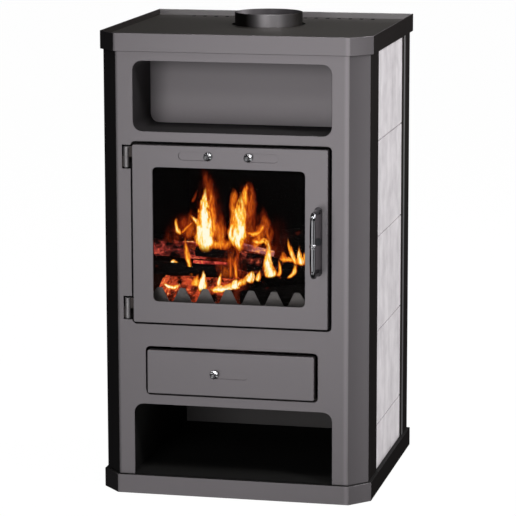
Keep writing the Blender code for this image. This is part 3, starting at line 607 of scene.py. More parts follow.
@dataclass(frozen=True)
class BlackSteel(Finish):
    """Heat-blackened steel with scale, dust and faint blue and brown heat tints."""

    def dress(self, shader: Shader) -> Value:
        """Scale flakes over a tinted ground.

        Args:
            shader: nodes of its material.

        Returns:
            The surface's output.
        """
        place = shader.place()
        clouds = shader.noise(place, 18, 5, 0.6).between(0.3, 0.7)
        scale = shader.noise(place, 240, 4, 0.7)
        return shader.surface({
            "Base Color": shader.mix(clouds, (0.0154, 0.0168, 0.021), (0.0374, 0.02835, 0.0252)),
            "Metallic": 0.35,
            "Roughness": scale * 0.25 + 0.4,
            "Normal": shader.bump(scale, 0.15 * MILLIMETRE, 0.5)})


@dataclass(frozen=True)
class CastIron(Finish):
    """Sand-cast iron: pebbled skin, nearly black, with a little rust in the hollows."""

    def dress(self, shader: Shader) -> Value:
        """Pebbles in the bump, rust where the noise is low.

        Args:
            shader: nodes of its material.

        Returns:
            The surface's output.
        """
        place = shader.place()
        pebbles = shader.noise(place, 700, 4, 0.7)
        rust = shader.noise(place, 45, 4, 0.65).between(0.55, 0.75)
        return shader.surface({
            "Base Color": shader.mix(rust * 0.5, (0.026, 0.026, 0.028), (0.075, 0.032, 0.018)),
            "Metallic": 0.5 - rust * 0.4,
            "Roughness": pebbles * 0.25 + 0.5,
            "Normal": shader.bump(pebbles, 0.4 * MILLIMETRE, 0.8)})


@dataclass(frozen=True)
class FireBrick(Finish):
    """Pressed lining board, speckled and covered in soot, which thins out low down.

    Attributes:
        floor: height at which the soot is thinnest.
        roof: height at which it covers everything.
    """

    floor: float
    roof: float

    def dress(self, shader: Shader) -> Value:
        """Speckles under soot that grows with the height.

        Args:
            shader: nodes of its material.

        Returns:
            The surface's output.
        """
        place = shader.place()
        height = shader.split(place)[2].between(self.floor, self.roof)
        specks = shader.noise(place, 260, 4, 0.75)
        cover = shader.noise(place, 9, 4, 0.6) * 0.6 + height
        board = shader.ramp(specks, [(0.35, (0.050, 0.038, 0.026)), (0.65, (0.115, 0.090, 0.062))])
        return shader.surface({
            "Base Color": shader.mix(cover.between(0.1, 0.5), board, (0.0022, 0.0016, 0.0014)),
            "Roughness": 0.95,
            "Specular IOR Level": 0.05,
            "Normal": shader.bump(specks, 0.8 * MILLIMETRE, 0.6)})


@dataclass(frozen=True)
class StoveGlass(Finish):
    """Clear ceramic pane: nearly all the light passes, and its faces reflect a little."""

    def dress(self, shader: Shader) -> Value:
        """A thin gloss over a clear body.

        Args:
            shader: nodes of its material.

        Returns:
            The surface's output.
        """
        clear = shader.node("BsdfTransparent", None, {"Color": (0.98, 0.97, 0.96)})
        gloss = shader.node("BsdfGlossy", None, {"Color": (0.9, 0.9, 0.9), "Roughness": 0.06})
        share = shader.noise(shader.place(), 12, 3) * 0.0005 + 0.0003
        return shader.node("MixShader", None, {0: share, 1: clear, 2: gloss})


@dataclass(frozen=True)
class GlassRope(Finish):
    """Braided glass-fibre rope, grey-white where it is clean and brown near the fire."""

    def dress(self, shader: Shader) -> Value:
        """Fibres along the strands and a few scorched patches.

        Args:
            shader: nodes of its material.

        Returns:
            The surface's output.
        """
        place = shader.place()
        fibres = shader.noise(place, 1800, 2)
        scorch = shader.noise(place, 25, 4, 0.6).between(0.5, 0.75)
        fibre = shader.ramp(fibres, [(0.3, (0.11, 0.105, 0.10)), (0.7, (0.24, 0.23, 0.21))])
        return shader.surface({
            "Base Color": shader.mix(scorch * 0.7, fibre, (0.05, 0.035, 0.022)),
            "Roughness": 0.95,
            "Normal": shader.bump(fibres, 0.3 * MILLIMETRE, 0.8)})


@dataclass(frozen=True)
class Zinc(Finish):
    """Hot-dip zinc: angular spangles that differ in tone and gloss."""

    def dress(self, shader: Shader) -> Value:
        """Voronoi spangles with fine grain.

        Args:
            shader: nodes of its material.

        Returns:
            The surface's output.
        """
        place = shader.place()
        spangle = shader.node("SeparateColor", None,
                              {0: shader.cells(place, 95, output="Color")})
        grain = shader.noise(place, 500, 3)
        tone = spangle * 0.8 + grain * 0.2
        return shader.surface({
            "Base Color": shader.ramp(tone, [(0.1, (0.34, 0.35, 0.36)), (0.9, (0.52, 0.53, 0.54))]),
            "Metallic": 0.9,
            "Roughness": spangle * 0.14 + 0.38,
            "Normal": shader.bump(tone, 0.05 * MILLIMETRE, 0.5)})


@dataclass(frozen=True)
class Char(Finish):
    """Charred wood with glowing cracks.

    Attributes:
        glow: how much of the surface glows, from 0 to 1.
        ember: colour of the glow.
        cold: place in x from which the glow fades to the right.
    """

    glow: float = 0.3
    ember: Colour = (0.66, 0.075, 0.025)
    cold: float = 1.0

    def dress(self, shader: Shader) -> Value:
        """Checked charcoal whose worn patches and cracks glow from red to yellow.

        Args:
            shader: nodes of its material.

        Returns:
            The surface's output.
        """
        place = shader.place()
        checks = shader.cells(shader.stretched(place, (38.0, 80.0, 80.0)), 1.0,
                              "DISTANCE_TO_EDGE")
        patches = shader.noise(place, 34, 6, 0.68)
        broad = shader.noise(place, 15, 2)
        cracks = 1.0 - checks.between(0.0, 0.08)
        worn = patches * 0.65 + broad * 0.35
        start = 0.62 - self.glow * 0.17
        warm = 1.0 - shader.split(place)[0].between(self.cold, self.cold + 0.07)
        heat = worn.between(start, start + 0.15) * warm
        fire = heat * (cracks * 0.2 + 0.5) + patches.between(0.56, 0.72) * heat * 0.4
        ash = shader.noise(place, 90, 4, 0.7).between(0.6, 0.85)
        return shader.surface({
            "Base Color": shader.mix(ash * 0.3, (0.004, 0.003, 0.003), (0.05, 0.045, 0.042)),
            "Roughness": 0.9,
            "Specular IOR Level": 0.05,
            "Normal": shader.bump(checks.between(0.0, 0.15) + patches, 1.5 * MILLIMETRE, 0.8),
            "Emission Color": shader.ramp(fire, [
                (0.0, (0.0, 0.0, 0.0)), (0.25, scaled(self.ember, 0.25)),
                (0.55, self.ember), (0.8, (1.0, 0.34, 0.08)), (1.0, (1.0, 0.78, 0.42))]),
            "Emission Strength": 1.0})


@dataclass(frozen=True)
class Flame(Finish):
    """Burning gas: its heat falls from the middle line to the rim and from foot to tip.

    Attributes:
        heat: 1 for a white heart, 0.5 for an orange flame, 0.3 for a dark red one.
        seed: shifts the streaks.
    """

    heat: float = 0.8
    seed: float = 0.0

    def dress(self, shader: Shader) -> Value:
        """Reads the flame's own map: across from -1 to 1, and up from 0 to 1.

        Args:
            shader: nodes of its material.

        Returns:
            The surface's output.
        """
        across, rise, _ = shader.split(shader.node("UVMap", {"uv_map": "flame"}))
        moved = shader.node("VectorMath", {"operation": "ADD"},
                            {0: shader.place(), 1: (self.seed, 0.0, self.seed)})
        flow = shader.noise(shader.stretched(moved, (62.0, 62.0, 24.0)), 1.0, 3, 0.55)
        licks = shader.noise(shader.stretched(moved, (230.0, 230.0, 60.0)), 1.0, 3, 0.6)
        ragged = rise.between(0.3, 1.0) * 1.5 + 1.3
        rim = (across + (flow - 0.5) * 2.2).math("ABSOLUTE") + (licks - 0.5) * ragged
        margin = 1.0 - across.math("ABSOLUTE").between(0.6, 0.98)
        heart = (1.0 - rim).math("MAXIMUM", 0.0) * margin
        fade = (1.0 - rise.between(0.25, 1.1) * 0.55) * (rise.between(0.0, 0.22) * 0.55 + 0.45)
        heat = heart * fade * (self.heat * 1.25)
        colour = shader.ramp(heat, [
            (0.0, (0.02, 0.001, 0.0)), (0.16, (0.45, 0.032, 0.004)), (0.34, (0.92, 0.17, 0.008)),
            (0.52, (1.0, 0.40, 0.02)), (0.70, (1.0, 0.70, 0.09)), (0.92, (1.0, 0.97, 0.75))])
        foot = rise.between(0.0, 0.14)
        tip = 1.0 - rise.between(0.65, 1.0)
        return shader.surface({
            "Base Color": (0.0, 0.0, 0.0),
            "Roughness": 1.0,
            "Emission Color": colour,
            "Emission Strength": 1.05,
            "Alpha": heat.between(0.0, 0.7) * foot * tip})


@dataclass(frozen=True)
class Backdrop(Finish):
    """Plain pale ground that keeps only a trace of the shadows on it."""

    def dress(self, shader: Shader) -> Value:
        """White matt ground, mostly lit by itself.

        Args:
            shader: nodes of its material.

        Returns:
            The surface's output.
        """
        glow = shader.node("Emission", None, {"Color": (1.0, 1.0, 1.0), "Strength": 1.03})
        matt = shader.node("BsdfDiffuse", None, {"Color": (0.95, 0.95, 0.95)})
        return shader.node("MixShader", None, {0: 0.04, 1: glow, 2: matt})


GRAPHITE = Paint()
# Dark coat of the posts, which also stands for painted shade on the sides of plinth and rim, on the
# rear posts and on the hinge leaves.
SIDE_PAINT_AND_SHADE = Paint((0.070, 0.060, 0.058), 1.0, 0.42)
FLUE_PAINT = Paint((0.22, 0.205, 0.215), 1.0, 0.5)
# Painted light on the rim's rear face that looks to the front.
RIM_PAINTED_LIGHT = Paint((0.60, 0.575, 0.59), 1.0, 0.45)
# Painted highlight on a hinge's barrel.
HINGE_PAINTED_HIGHLIGHT = Paint((0.52, 0.50, 0.51), 1.0, 0.55)
# Painted shade in hollows: the walls of the vents and the top of the plinth.
PAINTED_HOLLOW_SHADE = Paint((0.004, 0.003, 0.003), 0.0, 0.9)
# Dark coat of the top plate: painted shade on a face that looks up.
TOP_PAINTED_SHADE = Paint((0.130, 0.118, 0.108), 1.0, 0.46)
PLATE_PAINT = Paint((0.070, 0.062, 0.068), 1.0, 0.34)
GUARD_PAINT = Paint((0.175, 0.168, 0.170), 0.75, 0.45)
STONE = Stone()
CHROME = Metal()
KNOB_CHROME = Metal((0.62, 0.62, 0.64), 0.04, stain=0.03)
DULL_CHROME = Metal((0.34, 0.34, 0.35), 0.28)
HANDLE_CHROME = Metal((0.38, 0.38, 0.40), 0.05)
STEEL = BlackSteel()
IRON = CastIron()
ROPE = GlassRope()
ZINC = Zinc()
GLASS = StoveGlass()


# Surfaces


def grid_faces(rows: int, columns: int, wrap_rows: bool, wrap_columns: bool) -> Array:
    """Four corners of every face of a grid of points, numbered row by row.

    Args:
        rows: rows of points.
        columns: points in a row.
        wrap_rows: whether the last row joins the first.
        wrap_columns: whether a row closes on itself.

    Returns:
        One line of four point numbers for each face.
    """
    row = np.arange(rows if wrap_rows else rows - 1)[:, None]
    column = np.arange(columns if wrap_columns else columns - 1)[None, :]
    below = (row + 1) % rows
    beside = (column + 1) % columns
    corners = (row * columns + column, row * columns + beside,
               below * columns + beside, below * columns + column)
    return np.stack(corners, -1).reshape(-1, 4)


def placed(name: str, data: bpy.types.ID) -> bpy.types.Object:
    """New object in the scene.

    Args:
        name: its name.
        data: the mesh, lamp or camera that it holds.

    Returns:
        The object.
    """
    made = bpy.data.objects.new(name, data)
    bpy.context.scene.collection.objects.link(made)
    return made


def held(name: str, mesh: bpy.types.Mesh, sharp: float = 40.0) -> bpy.types.Object:
    """Object at the origin that shows a mesh smoothly.

    Args:
        name: its name.
        mesh: the mesh.
        sharp: angle in degrees over which an edge stays sharp.

    Returns:
        The object.
    """
    mesh.shade_smooth()
    mesh.set_sharp_from_angle(angle=math.radians(sharp))
    return placed(name, mesh)


def outward(name: str, points: Array, faces: list[list[int]]) -> bpy.types.Mesh:
    """Closed mesh whose faces all point outwards.

    Args:
        name: its name.
        points: its points.
        faces: point numbers of each face.

    Returns:
        The mesh.
    """
    mesh = bpy.data.meshes.new(name)
    mesh.from_pydata(points.reshape(-1, 3).tolist(), [], faces)
    shape = bmesh.new()
    shape.from_mesh(mesh)
    bmesh.ops.recalc_face_normals(shape, faces=shape.faces)
    shape.to_mesh(mesh)
    shape.free()
    return mesh


def circle(steps: int) -> Array:
    """Angles once round, from 0."""
    return np.linspace(0, 2 * np.pi, steps, endpoint=False)


def shell(name: str, points: Array, wrap_rows: bool = False, flame_map: Array | None = None,
          sharp: float = 40.0) -> bpy.types.Object:
    """Closed surface over a grid of points whose rows are rings.

    Args:
        name: name of the piece.
        points: rows, columns and three coordinates.
        wrap_rows: whether the last ring joins the first; if not, both ends are capped.
        flame_map: two map coordinates for each point, kept as the map "flame".
        sharp: angle in degrees over which an edge stays sharp.

    Returns:
        The piece, with its faces pointing outwards.
    """
    rows, columns = points.shape[:2]
    faces = grid_faces(rows, columns, wrap_rows, True).tolist()
    if not wrap_rows:
        faces.append(list(range(columns)))
        faces.append(list(range((rows - 1) * columns, rows * columns)))
    mesh = outward(name, points, faces)
    if flame_map is not None:
        layer = mesh.uv_layers.new(name="flame")
        corners = np.empty(len(mesh.loops), int)
        mesh.loops.foreach_get("vertex_index", corners)
        layer.data.foreach_set("uv", flame_map.reshape(-1, 2)[corners].ravel())
    return held(name, mesh, sharp)


def turned(name: str, profile: Array, centre: Vector, axis: Axis, segments: int = 64,
           ring: bool = False, flutes: int = 0, depth: float = 0.0,
           sharp: float = 35.0) -> bpy.types.Object:
    """Turned piece: each point of the profile runs round the axis.

    A point at angle a is centre + radius * (cos a, sin a) across the axis, plus its place
    along it. Flutes lessen the radius by depth * radius * (1 - cos(flutes * a)) / 2.

    Args:
        name: name of the piece.
        profile: radius and place along the axis, point by point.
        centre: point on the axis from which the places are counted.
        axis: direction of the axis.
        segments: steps round the axis.
        ring: whether the profile closes on itself.
        flutes: number of flutes.
        depth: depth of a flute as a share of the radius.
        sharp: angle in degrees over which an edge stays sharp.

    Returns:
        The piece.
    """
    along = axis.value
    first, second = [index for index in range(3) if index != along]
    angle = circle(segments)
    radius = profile[:, :1] * (1 - depth * (1 - np.cos(flutes * angle)) / 2)
    points = np.tile(np.array(centre, float), (len(profile), segments, 1))
    points[..., first] += radius * np.cos(angle)
    points[..., second] += radius * np.sin(angle)
    points[..., along] += profile[:, 1:]
    return shell(name, points, ring, sharp=sharp)


def swept(name: str, path: Array, normal: Vector, radius: Array, flat: float = 1.0,
          closed: bool = False, segments: int = 24, relief: Array | None = None,
          sharp: float = 60.0) -> bpy.types.Object:
    """Round bar along a flat path.

    A point at angle a is path + radius * (cos a * side + flat * sin a * normal), where side is
    the path's direction crossed with the normal of its plane.

    Args:
        name: name of the piece.
        path: points of the path.
        normal: unit normal of the plane of the path.
        radius: radius at each point.
        flat: thickness along the normal as a share of the width.
        closed: whether the path closes on itself.
        segments: steps round the bar.
        relief: height added to the radius for each point and step.
        sharp: angle in degrees over which an edge stays sharp.

    Returns:
        The piece.
    """
    if closed:
        direction = np.roll(path, -1, 0) - np.roll(path, 1, 0)
    else:
        direction = np.gradient(path, axis=0)
    direction /= np.linalg.norm(direction, axis=1, keepdims=True)
    up = np.array(normal, float)
    side = np.cross(direction, up)
    angle = circle(segments)
    reach = np.repeat(radius[:, None], segments, 1)
    if relief is not None:
        reach = reach + relief
    points = (path[:, None] + (reach * np.cos(angle))[..., None] * side[:, None]
              + (reach * np.sin(angle) * flat)[..., None] * up)
    return shell(name, points, closed, sharp=sharp)


def softened(node: str, name: str, radius: float, limit: float) -> bpy.types.Object:
    """Copy of a CAD node whose triangles are joined into flat faces and whose edges are rounded.

    Args:
        node: the CAD node.
        name: name of the piece.
        radius: width of the rounding.
        limit: edges that turn by more than this angle in degrees are rounded.

    Returns:
        The piece.
    """
    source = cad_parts[node].data
    points = np.empty(len(source.vertices) * 3)
    source.vertices.foreach_get("co", points)
    source.calc_loop_triangles()
    corners = np.empty(len(source.loop_triangles) * 3, int)
    source.loop_triangles.foreach_get("vertices", corners)
    mesh = bpy.data.meshes.new(name)
    mesh.from_pydata(points.reshape(-1, 3).tolist(), [], corners.reshape(-1, 3).tolist())
    shape = bmesh.new()
    shape.from_mesh(mesh)
    bmesh.ops.remove_doubles(shape, verts=shape.verts, dist=1e-6)
    bmesh.ops.dissolve_limit(shape, angle_limit=math.radians(0.5), verts=shape.verts,
                             edges=shape.edges)
    shape.to_mesh(mesh)
    shape.free()
    piece = held(name, mesh, 38.0)
    bevel = piece.modifiers.new("Edges", "BEVEL")
    bevel.width = radius
    bevel.segments = 3
    bevel.limit_method = "ANGLE"
    bevel.angle_limit = math.radians(limit)
    weighted = piece.modifiers.new("Flat faces", "WEIGHTED_NORMAL")
    weighted.keep_sharp = True
    return piece


def slab(name: str, low: Vector, high: Vector, side: Side, round_over: float,
         relief: float, seed: int) -> bpy.types.Object:
    """Stone slab whose face bends back to its edges and waves a little.

    The face is a grid. A point at distance d from the nearest edge stands back by
    r - sqrt(r^2 - (r - d)^2) for d under r, and in or out by a sum of sines. A last ring at
    the full thickness closes the sides, and a flat cap closes the back.

    Args:
        name: name of the piece.
        low: lowest corner of the slab.
        high: highest corner of the slab.
        side: the side that its face looks to.
        round_over: radius of the edges of the face.
        relief: height of the waves.
        seed: number that shifts the waves.

    Returns:
        The piece.
    """
    generator = np.random.default_rng(seed)
    step = 6 * MILLIMETRE
    spans = []
    for axis in (1, 2):
        edge = np.array([0.0, 0.15, 0.4, 0.7, 1.0]) * round_over
        count = max(3, round((high[axis] - low[axis]) / step))
        inner = np.linspace(low[axis] + round_over * 1.6, high[axis] - round_over * 1.6, count)
        spans.append(np.concatenate([low[axis] + edge, inner, high[axis] - edge[::-1]]))
    across, upright = np.meshgrid(spans[0], spans[1], indexing="ij")
    distance = np.minimum(np.minimum(across - low[1], high[1] - across),
                          np.minimum(upright - low[2], high[2] - upright))
    near = np.clip(round_over - distance, 0, None)
    back = round_over - np.sqrt(np.clip(round_over ** 2 - near ** 2, 0, None))
    waves = np.zeros_like(across)
    for pitch in (0.19, 0.11, 0.063):
        turn, shift = generator.uniform(0, 2 * np.pi, 2)
        way = np.cos(turn) * across + np.sin(turn) * upright
        waves += np.sin(way * 2 * np.pi / pitch + shift)
    back += relief * (1 - waves / 3) / 2 * np.clip(distance / (4 * round_over), 0, 1)
    face, rear = (high.x, low.x) if side is Side.RIGHT else (low.x, high.x)
    points = np.stack([face - side.value * back, across, upright], -1)
    rows, columns = across.shape
    rim = np.concatenate([
        np.arange(columns), np.arange(1, rows) * columns + columns - 1,
        (rows - 1) * columns + np.arange(columns - 2, -1, -1),
        np.arange(rows - 2, 0, -1) * columns])
    flat = points.reshape(-1, 3)
    foot = flat[rim].copy()
    foot[:, 0] = rear
    start = len(flat)
    ring = np.arange(len(rim))
    following = (ring + 1) % len(rim)
    sides = np.stack([rim, rim[following], start + following, start + ring], -1)
    faces = grid_faces(rows, columns, False, False).tolist() + sides.tolist()
    faces.append((start + ring).tolist())
    return held(name, outward(name, np.concatenate([flat, foot]), faces))


def settle(piece: bpy.types.Object, finish: Finish, body: Body, slot: Slot | None = None,
           *nodes: str) -> bpy.types.Object:
    """Dress a piece, say what it rides on, and hide the nodes that it stands for.

    Args:
        piece: the piece.
        finish: its look.
        body: the body that it rides on.
        slot: the record's slot of its finish; not used.
        nodes: the CAD nodes that it replaces.

    Returns:
        The piece.
    """
    piece.data.materials.clear()
    piece.data.materials.append(finish.material())
    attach(piece, body.value)
    if nodes:
        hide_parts(*nodes)
    LOG.info("%s rides on %s", piece.name, body.value)
    return piece


def sheet(node: str, name: str, radius: float, finish: Finish, body: Body, slot: Slot,
          limit: float = 55.0) -> bpy.types.Object:
    """Rounded copy of a CAD node, dressed and settled in its place.

    Args:
        node: the CAD node.
        name: name of the piece.
        radius: width of the rounding.
        finish: its look.
        body: the body that it rides on.
        slot: the record's slot of its finish.
        limit: edges that turn by more than this angle in degrees are rounded.

    Returns:
        The piece.
    """
    return settle(softened(node, name, radius, limit), finish, body, slot, node)


def recoat(piece: bpy.types.Object, finish: Finish,
           choose: Callable[[Array, Array], Array]) -> None:
    """Give some faces of a piece a finish of their own.

    Args:
        piece: the piece.
        finish: the other finish.
        choose: says which faces it covers, from the x, y and z of their centres and normals.
    """
    faces = piece.data.polygons
    centres, normals = np.empty(len(faces) * 3), np.empty(len(faces) * 3)
    faces.foreach_get("center", centres)
    faces.foreach_get("normal", normals)
    chosen = choose(centres.reshape(-1, 3).T, normals.reshape(-1, 3).T)
    index = np.empty(len(faces), int)
    faces.foreach_get("material_index", index)
    piece.data.materials.append(finish.material())
    index[chosen] = len(piece.data.materials) - 1
    faces.foreach_set("material_index", index)


def points_of(node: str) -> Array:
    """The corners of a CAD node, one in each row."""
    return np.array([vertex.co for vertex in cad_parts[node].data.vertices])


# Sub-assemblies


@dataclass
class Casing:
    """Front, posts, plinth, rim, top plate, back and the collar of the flue.

    Attributes:
        edge: rounding of the folded edges.
        margin: how near a face lies to the outside of a sheet to be one of its outer faces.
        fold_from_rear: place of the fold of the rear posts, from their rear.
        fold_width: width of the painted highlight on it.
        collar_wall: wall of the collar.
        collar_lip: radius of its rolled lip.
        collar_foot: thickness of its foot ring.
        weld: radius of the weld on the foot ring.
        pale_line: distance of the collar's painted highlight from its axis, as a share of its
            radius.
        bore_gap: how far outside the bore a face still belongs to the bore.
        touch: how near a point lies to the front of a sheet to be one of its front face.
        rear_edge: how near a face lies to the rear of the top plate to be part of its edge.
    """

    edge: float = 0.8 * MILLIMETRE
    margin: float = 25 * MILLIMETRE
    fold_from_rear: float = 66 * MILLIMETRE
    fold_width: float = 18 * MILLIMETRE
    collar_wall: float = 2 * MILLIMETRE
    collar_lip: float = MILLIMETRE
    collar_foot: float = 2 * MILLIMETRE
    weld: float = 3 * MILLIMETRE
    pale_line: float = 0.2
    bore_gap: float = 0.4 * MILLIMETRE
    touch: float = 0.1 * MILLIMETRE
    rear_edge: float = 2 * MILLIMETRE

    def build(self) -> None:
        """Make every piece of the casing."""
        self.sheets()
        self.collar()

    def sheets(self) -> None:
        """Folded sheets with rounded edges."""
        thick, thin = self.edge, self.edge / 2
        fold = FoldPaint(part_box("rear_post_right")[1].y - self.fold_from_rear, self.fold_width)
        for nodes, radius, finish, slot in (
                # Bent paints: painted highlight and painted shade across the chamfers.
                (["front_panel"], thick, self.bent("front_panel", 0.38, 0.18), Slot.GRAPHITE),
                (["plinth"], thick, self.bent("plinth", 0.75, 0.1), Slot.BLACK),
                (["top_rim"], thick, self.bent("top_rim", 0.42, -0.2), Slot.BLACK),
                # Top plate: dark coat that paints in its shade.
                (["top_plate"], thin, TOP_PAINTED_SHADE, Slot.BLACK),
                # Front posts: dark coat that also stands for painted shade on the sides.
                (["front_post_left", "front_post_right"], thick, SIDE_PAINT_AND_SHADE, Slot.BLACK),
                # Rear posts: painted highlight at the fold, on their dark coat.
                (["rear_post_left", "rear_post_right"], thick, fold, Slot.BLACK),
                (["back_panel", "side_panel_left", "side_panel_right"], thin, ZINC, Slot.ZINC)):
            for node in nodes:
                piece = sheet(node, node + "_sheet", radius, finish, Body.STOVE, slot)
                self.second_coats(piece, node)

    def bent(self, node: str, left: float, dip: float) -> BentPaint:
        """Paint with painted light and shade for a sheet with chamfered corners, from where its
        front face ends.

        Args:
            node: the CAD node of the sheet.
            left: painted shade of its left chamfer.
            dip: painted shade beside its right bend.

        Returns:
            The paint.
        """
        low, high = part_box(node)
        points = points_of(node)
        bend = float(points[points[:, 1] < low.y + self.touch, 0].max())
        return BentPaint(bend, high.x - bend, left, dip)

    def second_coats(self, piece: bpy.types.Object, node: str) -> None:
        """Painted shade on the sides, the plinth top and the vent walls, painted light on the rear
        of the rim, and stone in the joints.

        Args:
            piece: the sheet.
            node: the CAD node that it stands for.
        """
        low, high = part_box(node)
        before = low.y + self.margin
        beside, behind = high.x - self.margin, high.y - self.margin
        if node in ("plinth", "top_rim"):
            # Painted shade on the sides of plinth and rim.
            recoat(piece, SIDE_PAINT_AND_SHADE, lambda centre, normal: (
                (np.abs(centre[0]) > beside) & (np.abs(normal[1]) < 0.4)))
        if node == "plinth":
            # Painted shade on the plinth's top.
            recoat(piece, PAINTED_HOLLOW_SHADE, lambda centre, normal: normal[2] > 0.3)
        elif node == "top_rim":
            # Painted light on the front-facing rear face of the rim.
            recoat(piece, RIM_PAINTED_LIGHT, lambda centre, normal: (
                (centre[1] > behind) & (normal[1] < -0.9)))
        elif node == "top_plate":
            # Painted shade on the walls of the vents.
            recoat(piece, PAINTED_HOLLOW_SHADE, lambda centre, normal: (
                (np.abs(normal[2]) < 0.5) & (np.abs(centre[0]) < beside)
                & (centre[1] > before) & (centre[1] < high.y - self.rear_edge)))
        elif node.startswith("side_panel"):
            recoat(piece, STONE, lambda centre, normal: normal[0] * np.sign(centre[0]) > 0.9)

    def collar(self) -> None:
        """Collar with a rolled lip, a straight wall and a welded foot ring.

        The turned profile goes out along the ring and up its rim, by a quarter circle of weld to
        the wall, straight up, over a half circle of lip and down the bore.
        """
        low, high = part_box("flue_collar")
        centre = Vector(((low.x + high.x) / 2, (low.y + high.y) / 2, 0))
        foot_radius = (high.x - low.x) / 2
        points = points_of("flue_collar")
        upper = points[points[:, 2] > high.z - MILLIMETRE]
        outer = np.hypot(upper[:, 0] - centre.x, upper[:, 1] - centre.y).max()
        inner = outer - self.collar_wall
        foot_top = low.z + self.collar_foot
        turn = np.linspace(0, np.pi / 2, 5)
        bead = np.stack([outer + self.weld * (1 - np.sin(turn)),
                         foot_top + self.weld * (1 - np.cos(turn))], -1)
        turn = np.linspace(0, np.pi, 9)
        crown = np.stack([(outer + inner) / 2 + np.cos(turn) * self.collar_lip,
                          high.z - self.collar_lip + np.sin(turn) * self.collar_lip], -1)
        profile = np.concatenate([
            [(inner, low.z), (foot_radius, low.z), (foot_radius, foot_top)], bead, crown])
        collar = turned("flue_collar_turned", profile, centre, Axis.Z, 128, ring=True)
        # Painted highlight down the front of the collar, painted shade to both sides.
        paint = CollarPaint(centre.x + self.pale_line * outer, outer)
        settle(collar, paint, Body.STOVE, Slot.GRAPHITE, "flue_collar")
        bore = inner + self.bore_gap
        recoat(collar, FLUE_PAINT, lambda place, normal: (
            np.hypot(place[0] - centre.x, place[1] - centre.y) < bore))


@dataclass
class StoneSides:
    """The two columns of stone tiles.

    Attributes:
        round_over: radius of the edges of a tile's face.
        relief: height of the waves on it.
    """

    round_over: float = 0.7 * MILLIMETRE
    relief: float = 0.25 * MILLIMETRE

    def build(self) -> None:
        """Make each tile in the place of its CAD node."""
        for side in Side:
            for number in range(1, 6):
                node = f"tile_{side.name.lower()}_{number}"
                tile = slab(node + "_stone", *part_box(node), side, self.round_over, self.relief,
                            number * 7 + len(side.name))
                settle(tile, STONE, Body.STOVE, Slot.STONE, node)


@dataclass
class Niches:
    """Liner of the upper niche and of the wood store.

    Attributes:
        edge: rounding of the folds.
        wall: thickness of the sheet.
    """

    edge: float = 0.5 * MILLIMETRE
    wall: float = 1.5 * MILLIMETRE

    def build(self) -> None:
        """Make both liners."""
        for node, name, limit, slot, colour, shade in (
                ("niche_liner", "niche_lining", 40.0, Slot.GRAPHITE,
                 (0.34, 0.315, 0.33), (0.028, 0.024, 0.026)),
                ("wood_store_liner", "wood_store_lining", 55.0, Slot.STEEL,
                 (0.110, 0.104, 0.104), (0.004, 0.0035, 0.003))):
            low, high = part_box(node)
            # The liners carry painted light low on their rear walls and painted shade under their
            # roofs and on their other walls.
            paint = NichePaint(high.y - self.wall, low.z, high.z, colour, shade)
            sheet(node, name, self.edge, paint, Body.STOVE, slot, limit)


@dataclass
class Firebox:
    """Welded box, lining, grate, baffle and log guard behind the door.

    Attributes:
        edge: rounding of the welded sheets and of the log guard.
        board_edge: rounding of the lining boards.
        cast_edge: rounding of the grate.
        soot_start: height over the hearth at which the soot is thinnest.
        soot_full: share of the way up to the baffle at which it covers everything.
    """

    edge: float = 0.6 * MILLIMETRE
    board_edge: float = 2 * MILLIMETRE
    cast_edge: float = 1.2 * MILLIMETRE
    soot_start: float = -0.05
    soot_full: float = 0.5

    def build(self) -> None:
        """Make the pieces that show through the window and the open door."""
        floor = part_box("hearth_slab")[1].z
        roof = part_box("baffle_plate")[0].z
        brick = FireBrick(floor + self.soot_start, floor + (roof - floor) * self.soot_full)
        welded = ["firebox_shell", "firebox_front", "smoke_hood", "drawer_housing"]
        boards = ["hearth_slab", "firebrick_left", "firebrick_right", "firebrick_back",
                  "baffle_plate"]
        for nodes, radius, finish, slot in (
                (welded, self.edge, STEEL, Slot.STEEL),
                (boards, self.board_edge, brick, Slot.BRICK),
                (["grate"], self.cast_edge, IRON, Slot.IRON),
                (["log_guard"], self.edge, GUARD_PAINT, Slot.GRAPHITE)):
            for node in nodes:
                sheet(node, node + "_part", radius, finish, Body.STOVE, slot)


